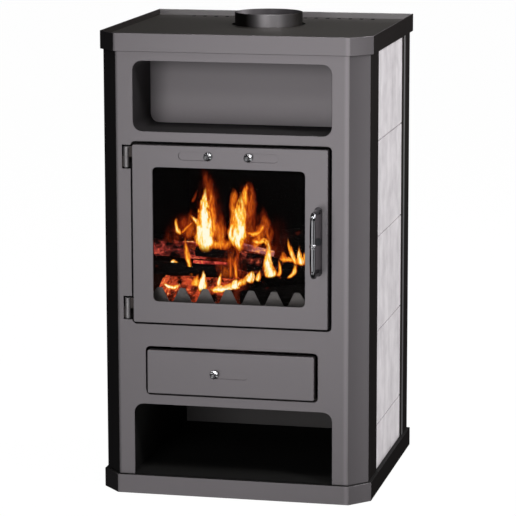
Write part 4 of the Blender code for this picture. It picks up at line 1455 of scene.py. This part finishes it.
@dataclass
class Handle:
    """Turning handle: chrome grip with a ball in its middle, on a long dark plate.

    Attributes:
        radius: radius of the grip.
        swell: what it gains between a bend and the ball.
        bead: radius of the ball.
        bend: radius of the bends.
        boss: radius of a foot on the plate.
        boss_length: length over which a foot narrows to the grip.
        edge: rounding of the plate, the spindle and the tongue.
    """

    radius: float = 5.2 * MILLIMETRE
    swell: float = 0.7 * MILLIMETRE
    bead: float = 6.8 * MILLIMETRE
    bend: float = 14 * MILLIMETRE
    boss: float = 7.2 * MILLIMETRE
    boss_length: float = 4 * MILLIMETRE
    edge: float = 0.6 * MILLIMETRE

    def build(self) -> None:
        """Make the grip, its plate, the spindle and the latch tongue."""
        self.grip()
        for node, finish in (("handle_plate", PLATE_PAINT), ("latch_spindle", STEEL),
                             ("latch_tongue", STEEL)):
            sheet(node, node + "_part", self.edge, finish, Body.HANDLE, Slot.STEEL)

    def grip(self) -> None:
        """Bar along foot, bend, straight, bend and foot.

        The radius swells by a half sine between a bend and the middle, and round the middle
        it follows a ball: sqrt(bead^2 - z^2).
        """
        low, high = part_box("door_handle")
        middle = Vector(((low.x + high.x) / 2, 0, (low.z + high.z) / 2))
        front = low.y + self.bead
        half = (high.z - low.z) / 2 - self.radius
        foot = np.linspace(high.y, front + self.bend, 14, endpoint=False)
        turn = np.linspace(0, np.pi / 2, 14, endpoint=False)
        straight = np.linspace(half - self.bend, 0, 60)
        depth = np.concatenate([foot, front + self.bend * (1 - np.sin(turn)),
                                np.full(len(straight), front)])
        height = np.concatenate([np.full(len(foot), half),
                                 half - self.bend * (1 - np.cos(turn)), straight])
        share = np.clip(height / (half - self.bend), 0, 1)
        radius = self.radius + self.swell * np.sin(np.pi * share)
        radius = np.where(share >= 1, self.radius, radius)
        ball = np.sqrt(np.clip(self.bead ** 2 - height ** 2, 0, None))
        radius = np.maximum(radius, ball)
        boss = np.clip(1 - (high.y - depth) / self.boss_length, 0, 1)
        boss = np.where(height >= half, boss, 0)
        radius = radius + (self.boss - self.radius) * boss ** 0.5
        depth = np.concatenate([depth, depth[-2::-1]])
        radius = np.concatenate([radius, radius[-2::-1]])
        height = np.concatenate([height, -height[-2::-1]])
        path = np.stack([np.full(len(depth), middle.x), depth, middle.z + height], -1)
        grip = swept("handle_grip", path, Vector((1, 0, 0)), radius, segments=32)
        settle(grip, HANDLE_CHROME, Body.HANDLE, Slot.CHROME, "door_handle")
        recoat(grip, CHROME, lambda centre, normal: (
            np.abs(centre[2] - middle.z) < self.bead * 0.9))


@dataclass
class AirSlides:
    """The three air slides with their tapered, fluted chrome knobs, and their tracks.

    Attributes:
        flutes: flutes round a knob.
        depth: their depth as a share of the radius.
        rake: slope of the taper.
        neck: radius of the neck.
        skirt: length of the straight skirt.
        rounding: rounding of its edges.
        tip: radius of the front.
        nose: rounding of the front's edge.
        axis: radius of a point on the axis, which may not be 0.
        stand_off: gap between the door and the skirt.
        shoulder: step from the taper to the rounded edge of the front.
        dish_edge: depth of the dished front at dish_reach of its radius.
        dish_reach: share of the radius of the front.
        dish: depth of the dished front in its middle.
        dull: depth from the front over which the chrome is dull.
        plate_edge: rounding of a slide.
        track_edge: rounding of a track.
    """

    flutes: int = 12
    depth: float = 0.10
    rake: float = 0.80
    neck: float = 4.5 * MILLIMETRE
    skirt: float = 2 * MILLIMETRE
    rounding: float = 0.3 * MILLIMETRE
    tip: float = 5.0 * MILLIMETRE
    nose: float = 1.2 * MILLIMETRE
    axis: float = 0.01 * MILLIMETRE
    stand_off: float = 3 * MILLIMETRE
    shoulder: float = 0.2 * MILLIMETRE
    dish_edge: float = 0.5 * MILLIMETRE
    dish_reach: float = 0.55
    dish: float = 0.7 * MILLIMETRE
    dull: float = 1.5 * MILLIMETRE
    plate_edge: float = 0.4 * MILLIMETRE
    track_edge: float = 0.3 * MILLIMETRE

    def build(self) -> None:
        """Make slides, knobs and tracks."""
        for name, body in (("air_left", Body.AIR_LEFT), ("air_right", Body.AIR_RIGHT),
                           ("drawer_air", Body.DRAWER_AIR)):
            sheet(name + "_slide", name + "_slide_plate", self.plate_edge, GRAPHITE, body,
                  Slot.GRAPHITE)
            self.knob(name, body)
        for name, body in (("air_slide", Body.DOOR), ("drawer_slide", Body.DRAWER)):
            sheet(name + "_track", name + "_channel", self.track_edge, STEEL, body, Slot.STEEL)

    def knob(self, name: str, body: Body) -> None:
        """Knob: a neck, a fluted skirt, a taper, and a dished front with a rounded edge.

        The turned profile runs straight between these, but for a quarter circle at that edge.

        Args:
            name: name of the slide, without its last word.
            body: the body that the knob rides on.
        """
        low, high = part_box(name + "_knob")
        centre = Vector(((low.x + high.x) / 2, 0, (low.z + high.z) / 2))
        wide = (high.z - low.z) / 2
        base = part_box("door_panel")[0].y - self.stand_off
        edge = base - self.skirt
        turn = np.linspace(0, np.pi / 2, 6)
        profile = np.concatenate([
            [(self.axis, high.y), (self.neck, high.y), (self.neck, base)],
            [(wide - self.rounding, base), (wide, base - self.rounding), (wide, edge)],
            [(self.tip + self.shoulder, edge - (wide - self.tip) * self.rake)],
            np.stack([self.tip - self.nose + self.nose * np.cos(turn),
                      low.y + self.nose - self.nose * np.sin(turn)], -1),
            [(self.tip * self.dish_reach, low.y + self.dish_edge),
             (self.axis, low.y + self.dish)]])
        knob = turned(name + "_knob_turned", profile, centre, Axis.Y, 72, flutes=self.flutes,
                      depth=self.depth, sharp=32.0)
        settle(knob, KNOB_CHROME, body, Slot.CHROME, name + "_knob")
        front = low.y + self.dull
        recoat(knob, DULL_CHROME, lambda centre, normal: centre[1] < front)


@dataclass
class Door:
    """Folded door with its pane, seals and hinges.

    Attributes:
        edge: rounding of the folded edges.
        retainer_edge: rounding of the frame that holds the pane.
        tape_edge: rounding of the tape round the pane.
        pane_edge: rounding of the pane.
        leaf_edge: rounding of a hinge.
        pin_edge: rounding of its pin.
        barrel: radius round a hinge's axis within which the painted highlight lies; painted shade
            covers the leaves beyond it.
        rope_width: width of the rope.
        rope_bend: radius of its corners.
        braid: pitch of its strands.
        strand: height of its strands.
    """

    edge: float = 0.7 * MILLIMETRE
    retainer_edge: float = 0.4 * MILLIMETRE
    tape_edge: float = 0.5 * MILLIMETRE
    pane_edge: float = 0.8 * MILLIMETRE
    leaf_edge: float = 0.6 * MILLIMETRE
    pin_edge: float = 0.5 * MILLIMETRE
    barrel: float = 6.5 * MILLIMETRE
    rope_width: float = 8 * MILLIMETRE
    rope_bend: float = 12 * MILLIMETRE
    braid: float = 7 * MILLIMETRE
    strand: float = 0.35 * MILLIMETRE

    def build(self) -> None:
        """Make the door and what it carries, but for the handle and the slides."""
        for node, name, radius, finish, slot in (
                ("door_panel", "door_sheet", self.edge, GRAPHITE, Slot.GRAPHITE),
                ("glass_frame", "glass_retainer", self.retainer_edge, STEEL, Slot.STEEL),
                ("glass_gasket", "glass_tape", self.tape_edge, ROPE, Slot.ROPE),
                ("door_glass", "glass_pane", self.pane_edge, GLASS, Slot.GLASS)):
            sheet(node, name, radius, finish, Body.DOOR, slot)
        self.rope()
        for hinge in Hinge:
            self.hinge(hinge)

    def hinge(self, hinge: Hinge) -> None:
        """Both leaves of a hinge, with a painted highlight round the barrel and painted shade
        beyond it, and its pin.

        Args:
            hinge: the hinge.
        """
        where = hinge.value
        pin = "hinge_pin_" + where
        low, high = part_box(pin)
        axis = (low + high) / 2
        for node, name, body in (("hinge_door_", "hinge_knuckle_", Body.DOOR),
                                 ("hinge_fixed_", "hinge_base_", Body.STOVE)):
            leaf = sheet(node + where, name + where, self.leaf_edge, HINGE_PAINTED_HIGHLIGHT, body,
                         Slot.GRAPHITE)
            # Painted highlight round the barrel, painted shade on the flat leaves.
            recoat(leaf, SIDE_PAINT_AND_SHADE, lambda centre, normal: (
                np.hypot(centre[0] - axis.x, centre[1] - axis.y) > self.barrel))
        sheet(pin, "hinge_rod_" + where, self.pin_edge, ZINC, Body.STOVE, Slot.ZINC)

    def rope(self) -> None:
        """Braided seal round the door: a flattened bar with two crossing sets of strands.

        The relief is the larger of sin(k s + 2 a) and sin(k s - 2 a), over the way s along
        the rope and the angle a round it.
        """
        low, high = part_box("door_rope_seal")
        half_width = self.rope_width / 2
        thick = (high.y - low.y) / 2
        corner = self.rope_bend
        left, right = low.x + half_width, high.x - half_width
        bottom, top = low.z + half_width, high.z - half_width
        turn = np.linspace(0, np.pi / 2, 12)
        corners = [(right - corner, top - corner, 0), (left + corner, top - corner, 1),
                   (left + corner, bottom + corner, 2), (right - corner, bottom + corner, 3)]
        outline = np.concatenate([
            np.stack([x + corner * np.cos(turn + quarter * np.pi / 2),
                      z + corner * np.sin(turn + quarter * np.pi / 2)], -1)
            for x, z, quarter in corners])
        step = np.linalg.norm(np.roll(outline, -1, 0) - outline, axis=1)
        way = np.concatenate([[0], np.cumsum(step)])
        count = round(way[-1] / self.braid) * 6
        place = np.linspace(0, way[-1], count, endpoint=False)
        ends = np.concatenate([outline, outline[:1]])
        path = np.stack([np.interp(place, way, ends[:, 0]),
                         np.full(count, (low.y + high.y) / 2),
                         np.interp(place, way, ends[:, 1])], -1)
        segments = 20
        angle = circle(segments)
        pull = 2 * np.pi * round(way[-1] / self.braid) / way[-1] * place[:, None]
        strands = np.maximum(np.sin(pull + 2 * angle), np.sin(pull - 2 * angle))
        rope = swept("door_rope", path, Vector((0, 1, 0)), np.full(count, half_width),
                     thick / half_width, True, segments, self.strand * (strands - 1), 80.0)
        settle(rope, ROPE, Body.DOOR, Slot.ROPE, "door_rope_seal")


@dataclass
class AshDrawer:
    """Folded front and the pan behind it.

    Attributes:
        front_edge: rounding of the front.
        pan_edge: rounding of the pan.
    """

    front_edge: float = 0.7 * MILLIMETRE
    pan_edge: float = 0.6 * MILLIMETRE

    def build(self) -> None:
        """Make both pieces."""
        sheet("ash_drawer_front", "drawer_sheet", self.front_edge, GRAPHITE, Body.DRAWER,
              Slot.GRAPHITE)
        sheet("ash_pan", "ash_pan_tray", self.pan_edge, ZINC, Body.DRAWER, Slot.ZINC)


class Tongue(Enum):
    """Flames: place in y, heat, and points of the middle line from foot to tip.

    A point holds x, z and half width, in millimetres.
    """

    MAIN = (-130, 1.0, ((-78, 502, 8), (-78, 532, 19), (-80, 572, 15), (-81, 604, 10),
        (-80, 628, 6), (-78, 644, 1)))
    MAIN_SHEATH = (-122, 0.40, ((-64, 524, 8), (-61, 553, 10), (-64, 580, 8), (-68, 607, 8),
        (-68, 632, 7), (-65, 653, 2)))
    MAIN_WISP = (-118, 0.20, ((-76, 605, 10), (-76, 635, 12), (-78, 654, 12), (-84, 670, 8),
        (-88, 686, 2)))
    MAIN_SPUR = (-124, 0.70, ((-92, 562, 8), (-103, 570, 5), (-113, 582, 1)))
    MAIN_STREAK = (-112, 0.20, ((-111, 604, 4), (-106, 618, 4), (-100, 637, 1)))
    SECOND = (-128, 0.84, ((-5, 504, 5), (-9, 526, 13), (-9, 548, 18), (-7, 572, 14), (-3, 597, 11),
        (-1, 618, 8), (-3, 636, 2)))
    SECOND_LEFT = (-121, 0.42, ((-23, 528, 7), (-20, 558, 11), (-19, 586, 11), (-20, 613, 9),
        (-19, 632, 7), (-22, 643, 1)))
    SECOND_RIGHT = (-117, 0.25, ((4, 560, 9), (12, 586, 12), (16, 610, 13), (17, 632, 11),
        (12, 649, 7), (5, 656, 2)))
    SECOND_CREST = (-123, 0.48, ((3, 600, 8), (5, 626, 9), (8, 643, 6), (9, 655, 1)))
    BRIDGE = (-116, 0.42, ((-76, 521, 8), (-54, 520, 12), (-36, 521, 12), (-20, 529, 8)))
    VEIL = (-114, 0.34, ((-49, 518, 10), (-48, 542, 12), (-49, 560, 9), (-48, 574, 3)))
    THIRD_VEIL = (-110, 0.34, ((18, 508, 8), (28, 530, 13), (36, 554, 11), (42, 574, 4)))
    THIRD = (-112, 0.24, ((54, 518, 7), (53, 542, 10), (47, 564, 12), (42, 586, 8), (40, 609, 2)))
    THIRD_CURL = (-119, 0.50, ((4, 547, 4), (20, 543, 6), (33, 550, 6), (44, 561, 6), (49, 568, 2)))
    THIRD_HOOK = (-120, 0.56, ((17, 534, 4), (33, 528, 6), (46, 531, 7), (56, 520, 7),
        (58, 505, 3)))
    WHITE = (-142, 1.0, ((66, 457, 8), (64, 465, 12), (59, 478, 11), (58, 498, 7), (59, 520, 4),
        (61, 545, 1)))
    WHITE_SIDE = (-136, 0.55, ((76, 458, 6), (82, 469, 5), (82, 482, 4), (78, 497, 1)))
    RIGHT_FIRST = (-122, 0.66, ((114, 480, 4), (110, 496, 6), (104, 511, 6), (99, 526, 4),
        (96, 541, 1)))
    RIGHT_SECOND = (-124, 0.85, ((129, 482, 5), (124, 494, 8), (121, 508, 5), (122, 528, 1)))
    RIGHT_THIRD = (-118, 0.62, ((136, 478, 4), (132, 496, 6), (130, 511, 2)))
    RIGHT_LOW = (-116, 0.45, ((86, 485, 10), (85, 498, 8), (83, 511, 2)))
    RIGHT_BAND = (-120, 0.50, ((75, 491, 4), (91, 494, 6), (107, 491, 6), (126, 487, 7),
        (138, 482, 3)))
    RIGHT_ARC = (-130, 0.62, ((96, 454, 2), (108, 464, 5), (115, 477, 6), (114, 488, 5)))
    CUP_LEFT = (-112, 0.66, ((-136, 535, 4), (-144, 546, 6), (-147, 562, 4), (-146, 578, 1)))
    CUP_RIGHT = (-110, 0.44, ((-138, 538, 3), (-127, 548, 4), (-115, 560, 3), (-104, 570, 1)))
    CUP_VEIL = (-104, 0.24, ((-122, 522, 12), (-120, 545, 16), (-118, 570, 12), (-116, 596, 4)))
    CUP_HAZE = (-106, 0.18, ((-130, 545, 10), (-130, 564, 11), (-133, 580, 5)))
    LEFT_DROP = (-134, 0.50, ((-108, 448, 4), (-112, 475, 6), (-118, 500, 7), (-121, 520, 5),
        (-122, 541, 1)))
    LOW_FIRST = (-150, 1.0, ((-78, 422, 11), (-80, 441, 9), (-79, 457, 5), (-79, 471, 1)))
    LOW_LEFT = (-146, 0.55, ((-100, 433, 11), (-96, 447, 8), (-90, 461, 2)))
    LOW_SECOND = (-148, 0.80, ((-49, 435, 6), (-44, 449, 5), (-41, 467, 1)))
    LOW_STREAK = (-142, 0.40, ((-9, 447, 5), (-11, 468, 5), (-12, 487, 5), (-7, 505, 3)))
    LOW_STREAK_LEFT = (-140, 0.32, ((-23, 449, 4), (-22, 471, 4), (-23, 493, 4), (-22, 508, 1)))
    LOW_THIRD = (-152, 1.0, ((-10, 431, 11), (-9, 444, 9), (-7, 454, 2)))
    LOW_FOURTH = (-152, 0.90, ((16, 448, 10), (23, 460, 9), (29, 474, 2)))
    LOW_FIFTH = (-150, 0.80, ((36, 450, 7), (40, 461, 6), (43, 476, 1)))
    LINE = (-149, 0.80, ((-68, 430, 5), (-49, 429, 8), (-28, 435, 8), (-7, 442, 8), (14, 451, 8),
        (36, 463, 6)))
    HAZE_MAIN = (-104, 0.21, ((-72, 496, 26), (-74, 550, 30), (-78, 610, 24), (-82, 670, 12)))
    HAZE_SECOND = (-102, 0.19, ((-2, 496, 26), (0, 550, 28), (2, 610, 21), (6, 656, 9)))
    HAZE_MIDDLE = (-125, 0.22, ((-30, 440, 22), (-24, 470, 30), (-10, 500, 26), (0, 525, 10)))
    HAZE_LOW = (-106, 0.20, ((-165, 500, 10), (-100, 505, 20), (-30, 500, 24), (50, 506, 22),
        (110, 500, 12)))
    HAZE_LEFT = (-100, 0.16, ((-150, 500, 24), (-140, 545, 28), (-128, 585, 12)))
    HAZE_RIGHT = (-102, 0.09, ((60, 490, 20), (70, 540, 24), (60, 590, 14)))
    CRESCENT = (-152, 1.0, ((-165, 438, 2), (-153, 431, 5), (-139, 431, 5), (-128, 439, 2)))
    COALS = (-128, 0.80, ((-156, 478, 3), (-148, 481, 5), (-138, 478, 2)))


RED_HEAT = (0.62, 0.07, 0.03)


class Log(Enum):
    """Logs: left end, right end, radius, glow and colour of the glow."""

    FRONT = ((0.002, -0.138, 0.398), (0.186, -0.118, 0.424), 0.031, 0.02, RED_HEAT)
    LOW_LEFT = ((-0.198, -0.124, 0.466), (-0.022, -0.118, 0.461), 0.0155, 0.16, RED_HEAT)
    EMBER = ((-0.198, -0.098, 0.505), (-0.085, -0.094, 0.500), 0.020, 0.98, (0.50, 0.06, 0.045))
    HIGH_LEFT = ((-0.200, -0.094, 0.532), (-0.118, -0.086, 0.524), 0.010, 0.03, RED_HEAT)
    RED = ((-0.110, -0.112, 0.478), (-0.026, -0.110, 0.474), 0.0045, 1.15, (0.66, 0.06, 0.05))
    MIDDLE_LEFT = ((-0.104, -0.112, 0.502), (-0.018, -0.108, 0.496), 0.0125, 0.10,
        (0.5, 0.06, 0.05))
    LILAC = ((-0.006, -0.100, 0.512), (0.060, -0.096, 0.496), 0.008, 0.92, (0.42, 0.14, 0.15))
    MIDDLE = ((-0.010, -0.112, 0.488), (0.082, -0.108, 0.470), 0.0200, 0.62, (0.50, 0.07, 0.04))
    RIGHT = ((0.066, -0.110, 0.472), (0.196, -0.104, 0.466), 0.0165, 0.12, (0.35, 0.07, 0.03))
    HIGH_RIGHT = ((0.070, -0.060, 0.524), (0.196, -0.054, 0.536), 0.022, 0.05, RED_HEAT)
    REAR = ((-0.150, -0.020, 0.455), (0.150, -0.030, 0.462), 0.048, 0.20, RED_HEAT)


@dataclass
class Fire:
    """The fire that burns in the stove: a bed of embers, logs and flames.

    Attributes:
        middle: middle of the bed in x and y.
        reach: half width and half depth of the bed.
        rise: height of its crown.
        slope: share of the height that it loses towards the right, and gains to the left.
        cold: place in x from which its embers go dark.
        spread: factor on the widths of large flames.
        least: share of that factor for the thinnest flames.
        wide: half width that fills the rest of the share.
        flat: depth of a flame as a share of its width.
        thinnest: least half width of a flame.
        lift: least height of the bed over the hearth.
    """

    middle: tuple[float, float] = (-0.010, -0.050)
    reach: tuple[float, float] = (0.188, 0.118)
    rise: float = 0.080
    slope: float = 0.46
    cold: float = -0.055
    spread: float = 1.5
    least: float = 0.66
    wide: float = 45 * MILLIMETRE
    flat: float = 0.35
    thinnest: float = 0.3 * MILLIMETRE
    lift: float = 0.3 * MILLIMETRE

    def build(self) -> None:
        """Make the bed, the logs and the flames on them."""
        self.bed()
        for number, log in enumerate(Log):
            self.log(log, number)
        for number, tongue in enumerate(Tongue):
            self.flame(tongue, number)

    def bed(self) -> None:
        """Heap of embers: rings that shrink to a crown.

        Ring t has the radius sin(pi t / 2) of the reach, drawn square by the power 0.7 of its
        sine and cosine, and the height rise * cos(pi t / 2)^0.45, which slopes down to the right
        and is roughened by a sum of sines.
        """
        generator = np.random.default_rng(11)
        share = np.linspace(0.004, 1, 64)[:, None]
        angle = circle(160)
        radius = np.sin(share * np.pi / 2)
        x, y = (reach * radius * np.sign(wave) * np.abs(wave) ** 0.7
                for reach, wave in zip(self.reach, (np.cos(angle), np.sin(angle))))
        lumps = np.zeros_like(x)
        for pitch in (0.045, 0.027, 0.015, 0.009):
            turn, shift, other = generator.uniform(0, 2 * np.pi, 3)
            wave = np.sin((np.cos(turn) * x + np.sin(turn) * y) * 2 * np.pi / pitch + shift)
            cross = np.sin((np.sin(turn) * x - np.cos(turn) * y) * 2 * np.pi / pitch + other)
            lumps += pitch * 0.16 * wave * cross
        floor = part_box("hearth_slab")[1].z
        crown = np.cos(share * np.pi / 2) ** 0.45 * (1 - self.slope * x / self.reach[0])
        z = floor + self.rise * crown + lumps * (1 - share ** 6)
        z = np.maximum(z, floor + self.lift)
        points = np.stack([self.middle[0] + x, self.middle[1] + y, z], -1)
        settle(shell("ember_bed", points, sharp=60.0), Char(1.3, cold=self.cold), Body.STOVE)

    def log(self, log: Log, number: int) -> None:
        """Split log: rings along its axis.

        The radius is that of a flattened circle, r * (1 - 0.14 cos(2 a)), with bark ridges
        along it and burnt hollows, both sums of sines.

        Args:
            log: the log.
            number: its number, which starts its random draws.
        """
        left, right, thick, glow, ember = log.value
        generator = np.random.default_rng(number + 3)
        start, end = np.array(left), np.array(right)
        along = (end - start) / np.linalg.norm(end - start)
        side = np.cross(along, (0.0, 0.0, 1.0))
        side /= np.linalg.norm(side)
        up = np.cross(side, along)
        share = np.linspace(0, 1, 90)[:, None]
        angle = circle(72)
        length = np.linalg.norm(end - start)
        shift = generator.uniform(0, 2 * np.pi, 6)
        ridge = np.sin(17 * angle + 2.0 * np.sin(share * 9 + shift[0]))
        dent = np.sin(share * length / 0.021 * 2 + shift[1]) * np.sin(3 * angle + shift[2])
        hollow = np.sin(share * length / 0.055 * 2 + shift[3]) * np.sin(angle * 2 + shift[4])
        form = (1 - 0.14 * np.cos(2 * angle + shift[5])
                + 0.035 * ridge + 0.05 * dent + 0.06 * hollow)
        taper = np.minimum(share, 1 - share) * length / (thick * 0.35)
        radius = thick * form * np.clip(taper + 0.7, 0, 1) ** 0.5
        centre = start + share[..., None] * (end - start)
        points = (centre + (radius * np.cos(angle))[..., None] * side
                  + (radius * np.sin(angle))[..., None] * up)
        piece = shell(f"log_{log.name.lower()}", points, sharp=70.0)
        settle(piece, Char(glow, ember), Body.STOVE)

    def flame(self, tongue: Tongue, number: int) -> None:
        """Tongue of fire: flat rings along its middle line.

        The middle line and the half width w run through the tongue's points by cubic pieces
        whose slope at a point is half the way between its neighbours. A ring's point at angle
        a is line + w * cos a * side + flat * w * sin a * y, and the map holds cos a and the
        share of the way from foot to tip.

        Args:
            tongue: the flame.
            number: its number, which shifts its streaks.
        """
        depth, heat, points = tongue.value
        knots = np.array(points, float) * MILLIMETRE
        slopes = np.gradient(knots, axis=0)
        share = np.linspace(0, 1, 48)
        way = share * (len(knots) - 1)
        first = np.minimum(way.astype(int), len(knots) - 2)
        part = (way - first)[:, None]
        line = ((2 * part ** 3 - 3 * part ** 2 + 1) * knots[first]
                + (part ** 3 - 2 * part ** 2 + part) * slopes[first]
                + (3 * part ** 2 - 2 * part ** 3) * knots[first + 1]
                + (part ** 3 - part ** 2) * slopes[first + 1])
        direction = np.gradient(line[:, :2], axis=0)
        direction /= np.linalg.norm(direction, axis=1, keepdims=True)
        spread = self.spread * min(1.0, self.least + knots[:, 2].max() / self.wide)
        wide = np.clip(line[:, 2:], self.thinnest, None) * spread
        angle = circle(28)
        x = line[:, :1] + wide * np.cos(angle) * direction[:, 1:]
        y = depth * MILLIMETRE + self.flat * wide * np.sin(angle)
        z = line[:, 1:2] - wide * np.cos(angle) * direction[:, :1]
        flame_map = np.stack(np.broadcast_arrays(np.cos(angle), share[:, None]), -1)
        piece = shell(f"flame_{tongue.name.lower()}", np.stack([x, y, z], -1),
                      flame_map=flame_map, sharp=80.0)
        piece.visible_diffuse = False
        piece.visible_glossy = False
        piece.visible_shadow = False
        settle(piece, Flame(heat, number * 1.7), Body.STOVE)


# Studio


class Lamp(Enum):
    """Soft lamps: place, aim, width, height, and brightness per square metre."""

    FRONT = ((-0.40, -3.6, 0.36), (0.0, -0.2, 0.5), 1.6, 1.8, 2.05)
    FRONT_HIGH = ((-0.40, -3.4, 2.0), (0.0, 0.0, 0.95), 0.9, 0.8, 2.6)
    RIGHT_HIGH = ((3.4, 1.6, 2.4), (0.25, 0.0, 0.4), 2.2, 2.2, 5.35)
    RIGHT_LOW = ((3.2, -0.9, 0.0), (0.25, -0.2, 0.5), 1.4, 1.8, 1.0)
    LEFT_HIGH = ((-2.6, 0.8, 2.6), (-0.2, 0.0, 0.5), 2.0, 2.0, 0.2)
    REAR = ((0.2, 3.0, 3.2), (0.0, 0.2, 0.6), 2.4, 1.6, 0.6)
    TOP_FRONT = ((0.4, -1.6, 3.4), (0.0, 0.0, 0.6), 1.8, 1.2, 2.0)
    SPARK_RIGHT = ((2.1, -1.5, 2.5), (0.0, -0.2, 0.6), 0.6, 0.6, 18.0)
    DEEP_LEFT = ((-1.8, -2.8, -1.7), (0.0, -0.2, 0.5), 2.4, 1.6, 0.8)
    DEEP_RIGHT = ((2.2, -2.6, -1.7), (0.0, -0.2, 0.5), 2.4, 1.6, 0.8)
    SPARK_LEFT = ((-2.4, -0.9, 2.4), (0.0, -0.2, 0.6), 0.4, 0.4, 12.0)
    SPARK_TOP = ((-0.2, -1.6, 3.4), (0.0, -0.2, 0.6), 0.4, 0.4, 20.0)


@dataclass
class Studio:
    """Camera, pale ground and soft lamps.

    Attributes:
        camera_place: place of the camera, whose y is counted from the front of the rim.
        yaw, pitch, roll: its angles in degrees.
        lens: its focal length in millimetres.
        ground: length of the ground's sides.
        sink: depth of the ground under the stove's foot.
        ambient: strength of the even light.
    """

    camera_place: tuple[float, float, float] = (1.2682, -5.3946, 1.5418)
    yaw: float = 12.66
    pitch: float = 10.523
    roll: float = -0.112
    lens: float = 190.9
    ground: float = 30.0
    sink: float = 0.2 * MILLIMETRE
    ambient: float = 0.022

    def build(self) -> None:
        """Set the stage."""
        self.camera()
        self.floor()
        self.sky()
        for lamp in Lamp:
            self.lamp(lamp)

    def camera(self) -> None:
        """Camera at the photograph's angle, level but for a slight roll."""
        yaw, pitch, roll = (math.radians(angle) for angle in (self.yaw, self.pitch, self.roll))
        forward = Vector((-math.sin(yaw) * math.cos(pitch), math.cos(yaw) * math.cos(pitch),
                          -math.sin(pitch)))
        level = Vector((math.cos(yaw), math.sin(yaw), 0))
        above = level.cross(forward)
        right = level * math.cos(roll) + above * math.sin(roll)
        up = above * math.cos(roll) - level * math.sin(roll)
        data = bpy.data.cameras.new("camera")
        data.lens = self.lens
        data.sensor_width = 36.0
        data.clip_end = 100.0
        camera = placed("camera", data)
        x, y, z = self.camera_place
        matrix = Matrix((right, up, -forward)).transposed().to_4x4()
        matrix.translation = Vector((x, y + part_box("top_rim")[0].y, z))
        camera.matrix_world = matrix
        bpy.context.scene.camera = camera

    def floor(self) -> None:
        """Pale ground, which shows in no gloss and hides no lamp from the stove."""
        half = self.ground / 2
        mesh = bpy.data.meshes.new("ground")
        corners = ((-half, -half), (half, -half), (half, half), (-half, half))
        mesh.from_pydata([(x, y, -self.sink) for x, y in corners], [], [(0, 1, 2, 3)])
        mesh.materials.append(Backdrop().material())
        ground = placed("ground", mesh)
        ground.visible_glossy = False
        ground.visible_shadow = False

    def sky(self) -> None:
        """White behind the stove, and a dim even light everywhere else."""
        world = bpy.data.worlds.new("studio")
        world.use_nodes = True
        nodes, links = world.node_tree.nodes, world.node_tree.links
        nodes.clear()
        path = nodes.new("ShaderNodeLightPath")
        mix = nodes.new("ShaderNodeMixShader")
        out = nodes.new("ShaderNodeOutputWorld")
        for index, strength in ((1, self.ambient), (2, 1.0)):
            glow = nodes.new("ShaderNodeBackground")
            glow.inputs["Color"].default_value = (1.0, 1.0, 1.0, 1.0)
            glow.inputs["Strength"].default_value = strength
            links.new(glow.outputs[0], mix.inputs[index])
        links.new(path.outputs["Is Camera Ray"], mix.inputs[0])
        links.new(mix.outputs[0], out.inputs["Surface"])
        bpy.context.scene.world = world

    def lamp(self, lamp: Lamp) -> None:
        """Soft lamp that looks at its aim.

        Args:
            lamp: the lamp.
        """
        place, aim, width, height, brightness = lamp.value
        data = bpy.data.lights.new(lamp.name.lower(), "AREA")
        data.shape = "RECTANGLE"
        data.size = width
        data.size_y = height
        data.energy = brightness * width * height * math.pi
        light = placed(data.name, data)
        light.location = place
        way = Vector(aim) - Vector(place)
        light.rotation_euler = way.to_track_quat("-Z", "Y").to_euler()
        light.visible_camera = False


def main() -> None:
    """Build the stove in order."""
    logging.basicConfig(level=logging.INFO, format="%(name)s: %(message)s")
    bpy.context.scene.view_settings.view_transform = "Standard"
    Studio().build()
    for assembly in (Casing(), StoneSides(), Niches(), Firebox(), Door(), Handle(), AirSlides(),
                     AshDrawer(), Fire()):
        assembly.build()
    bpy.context.view_layer.update()


if __name__ == "__main__":
    main()
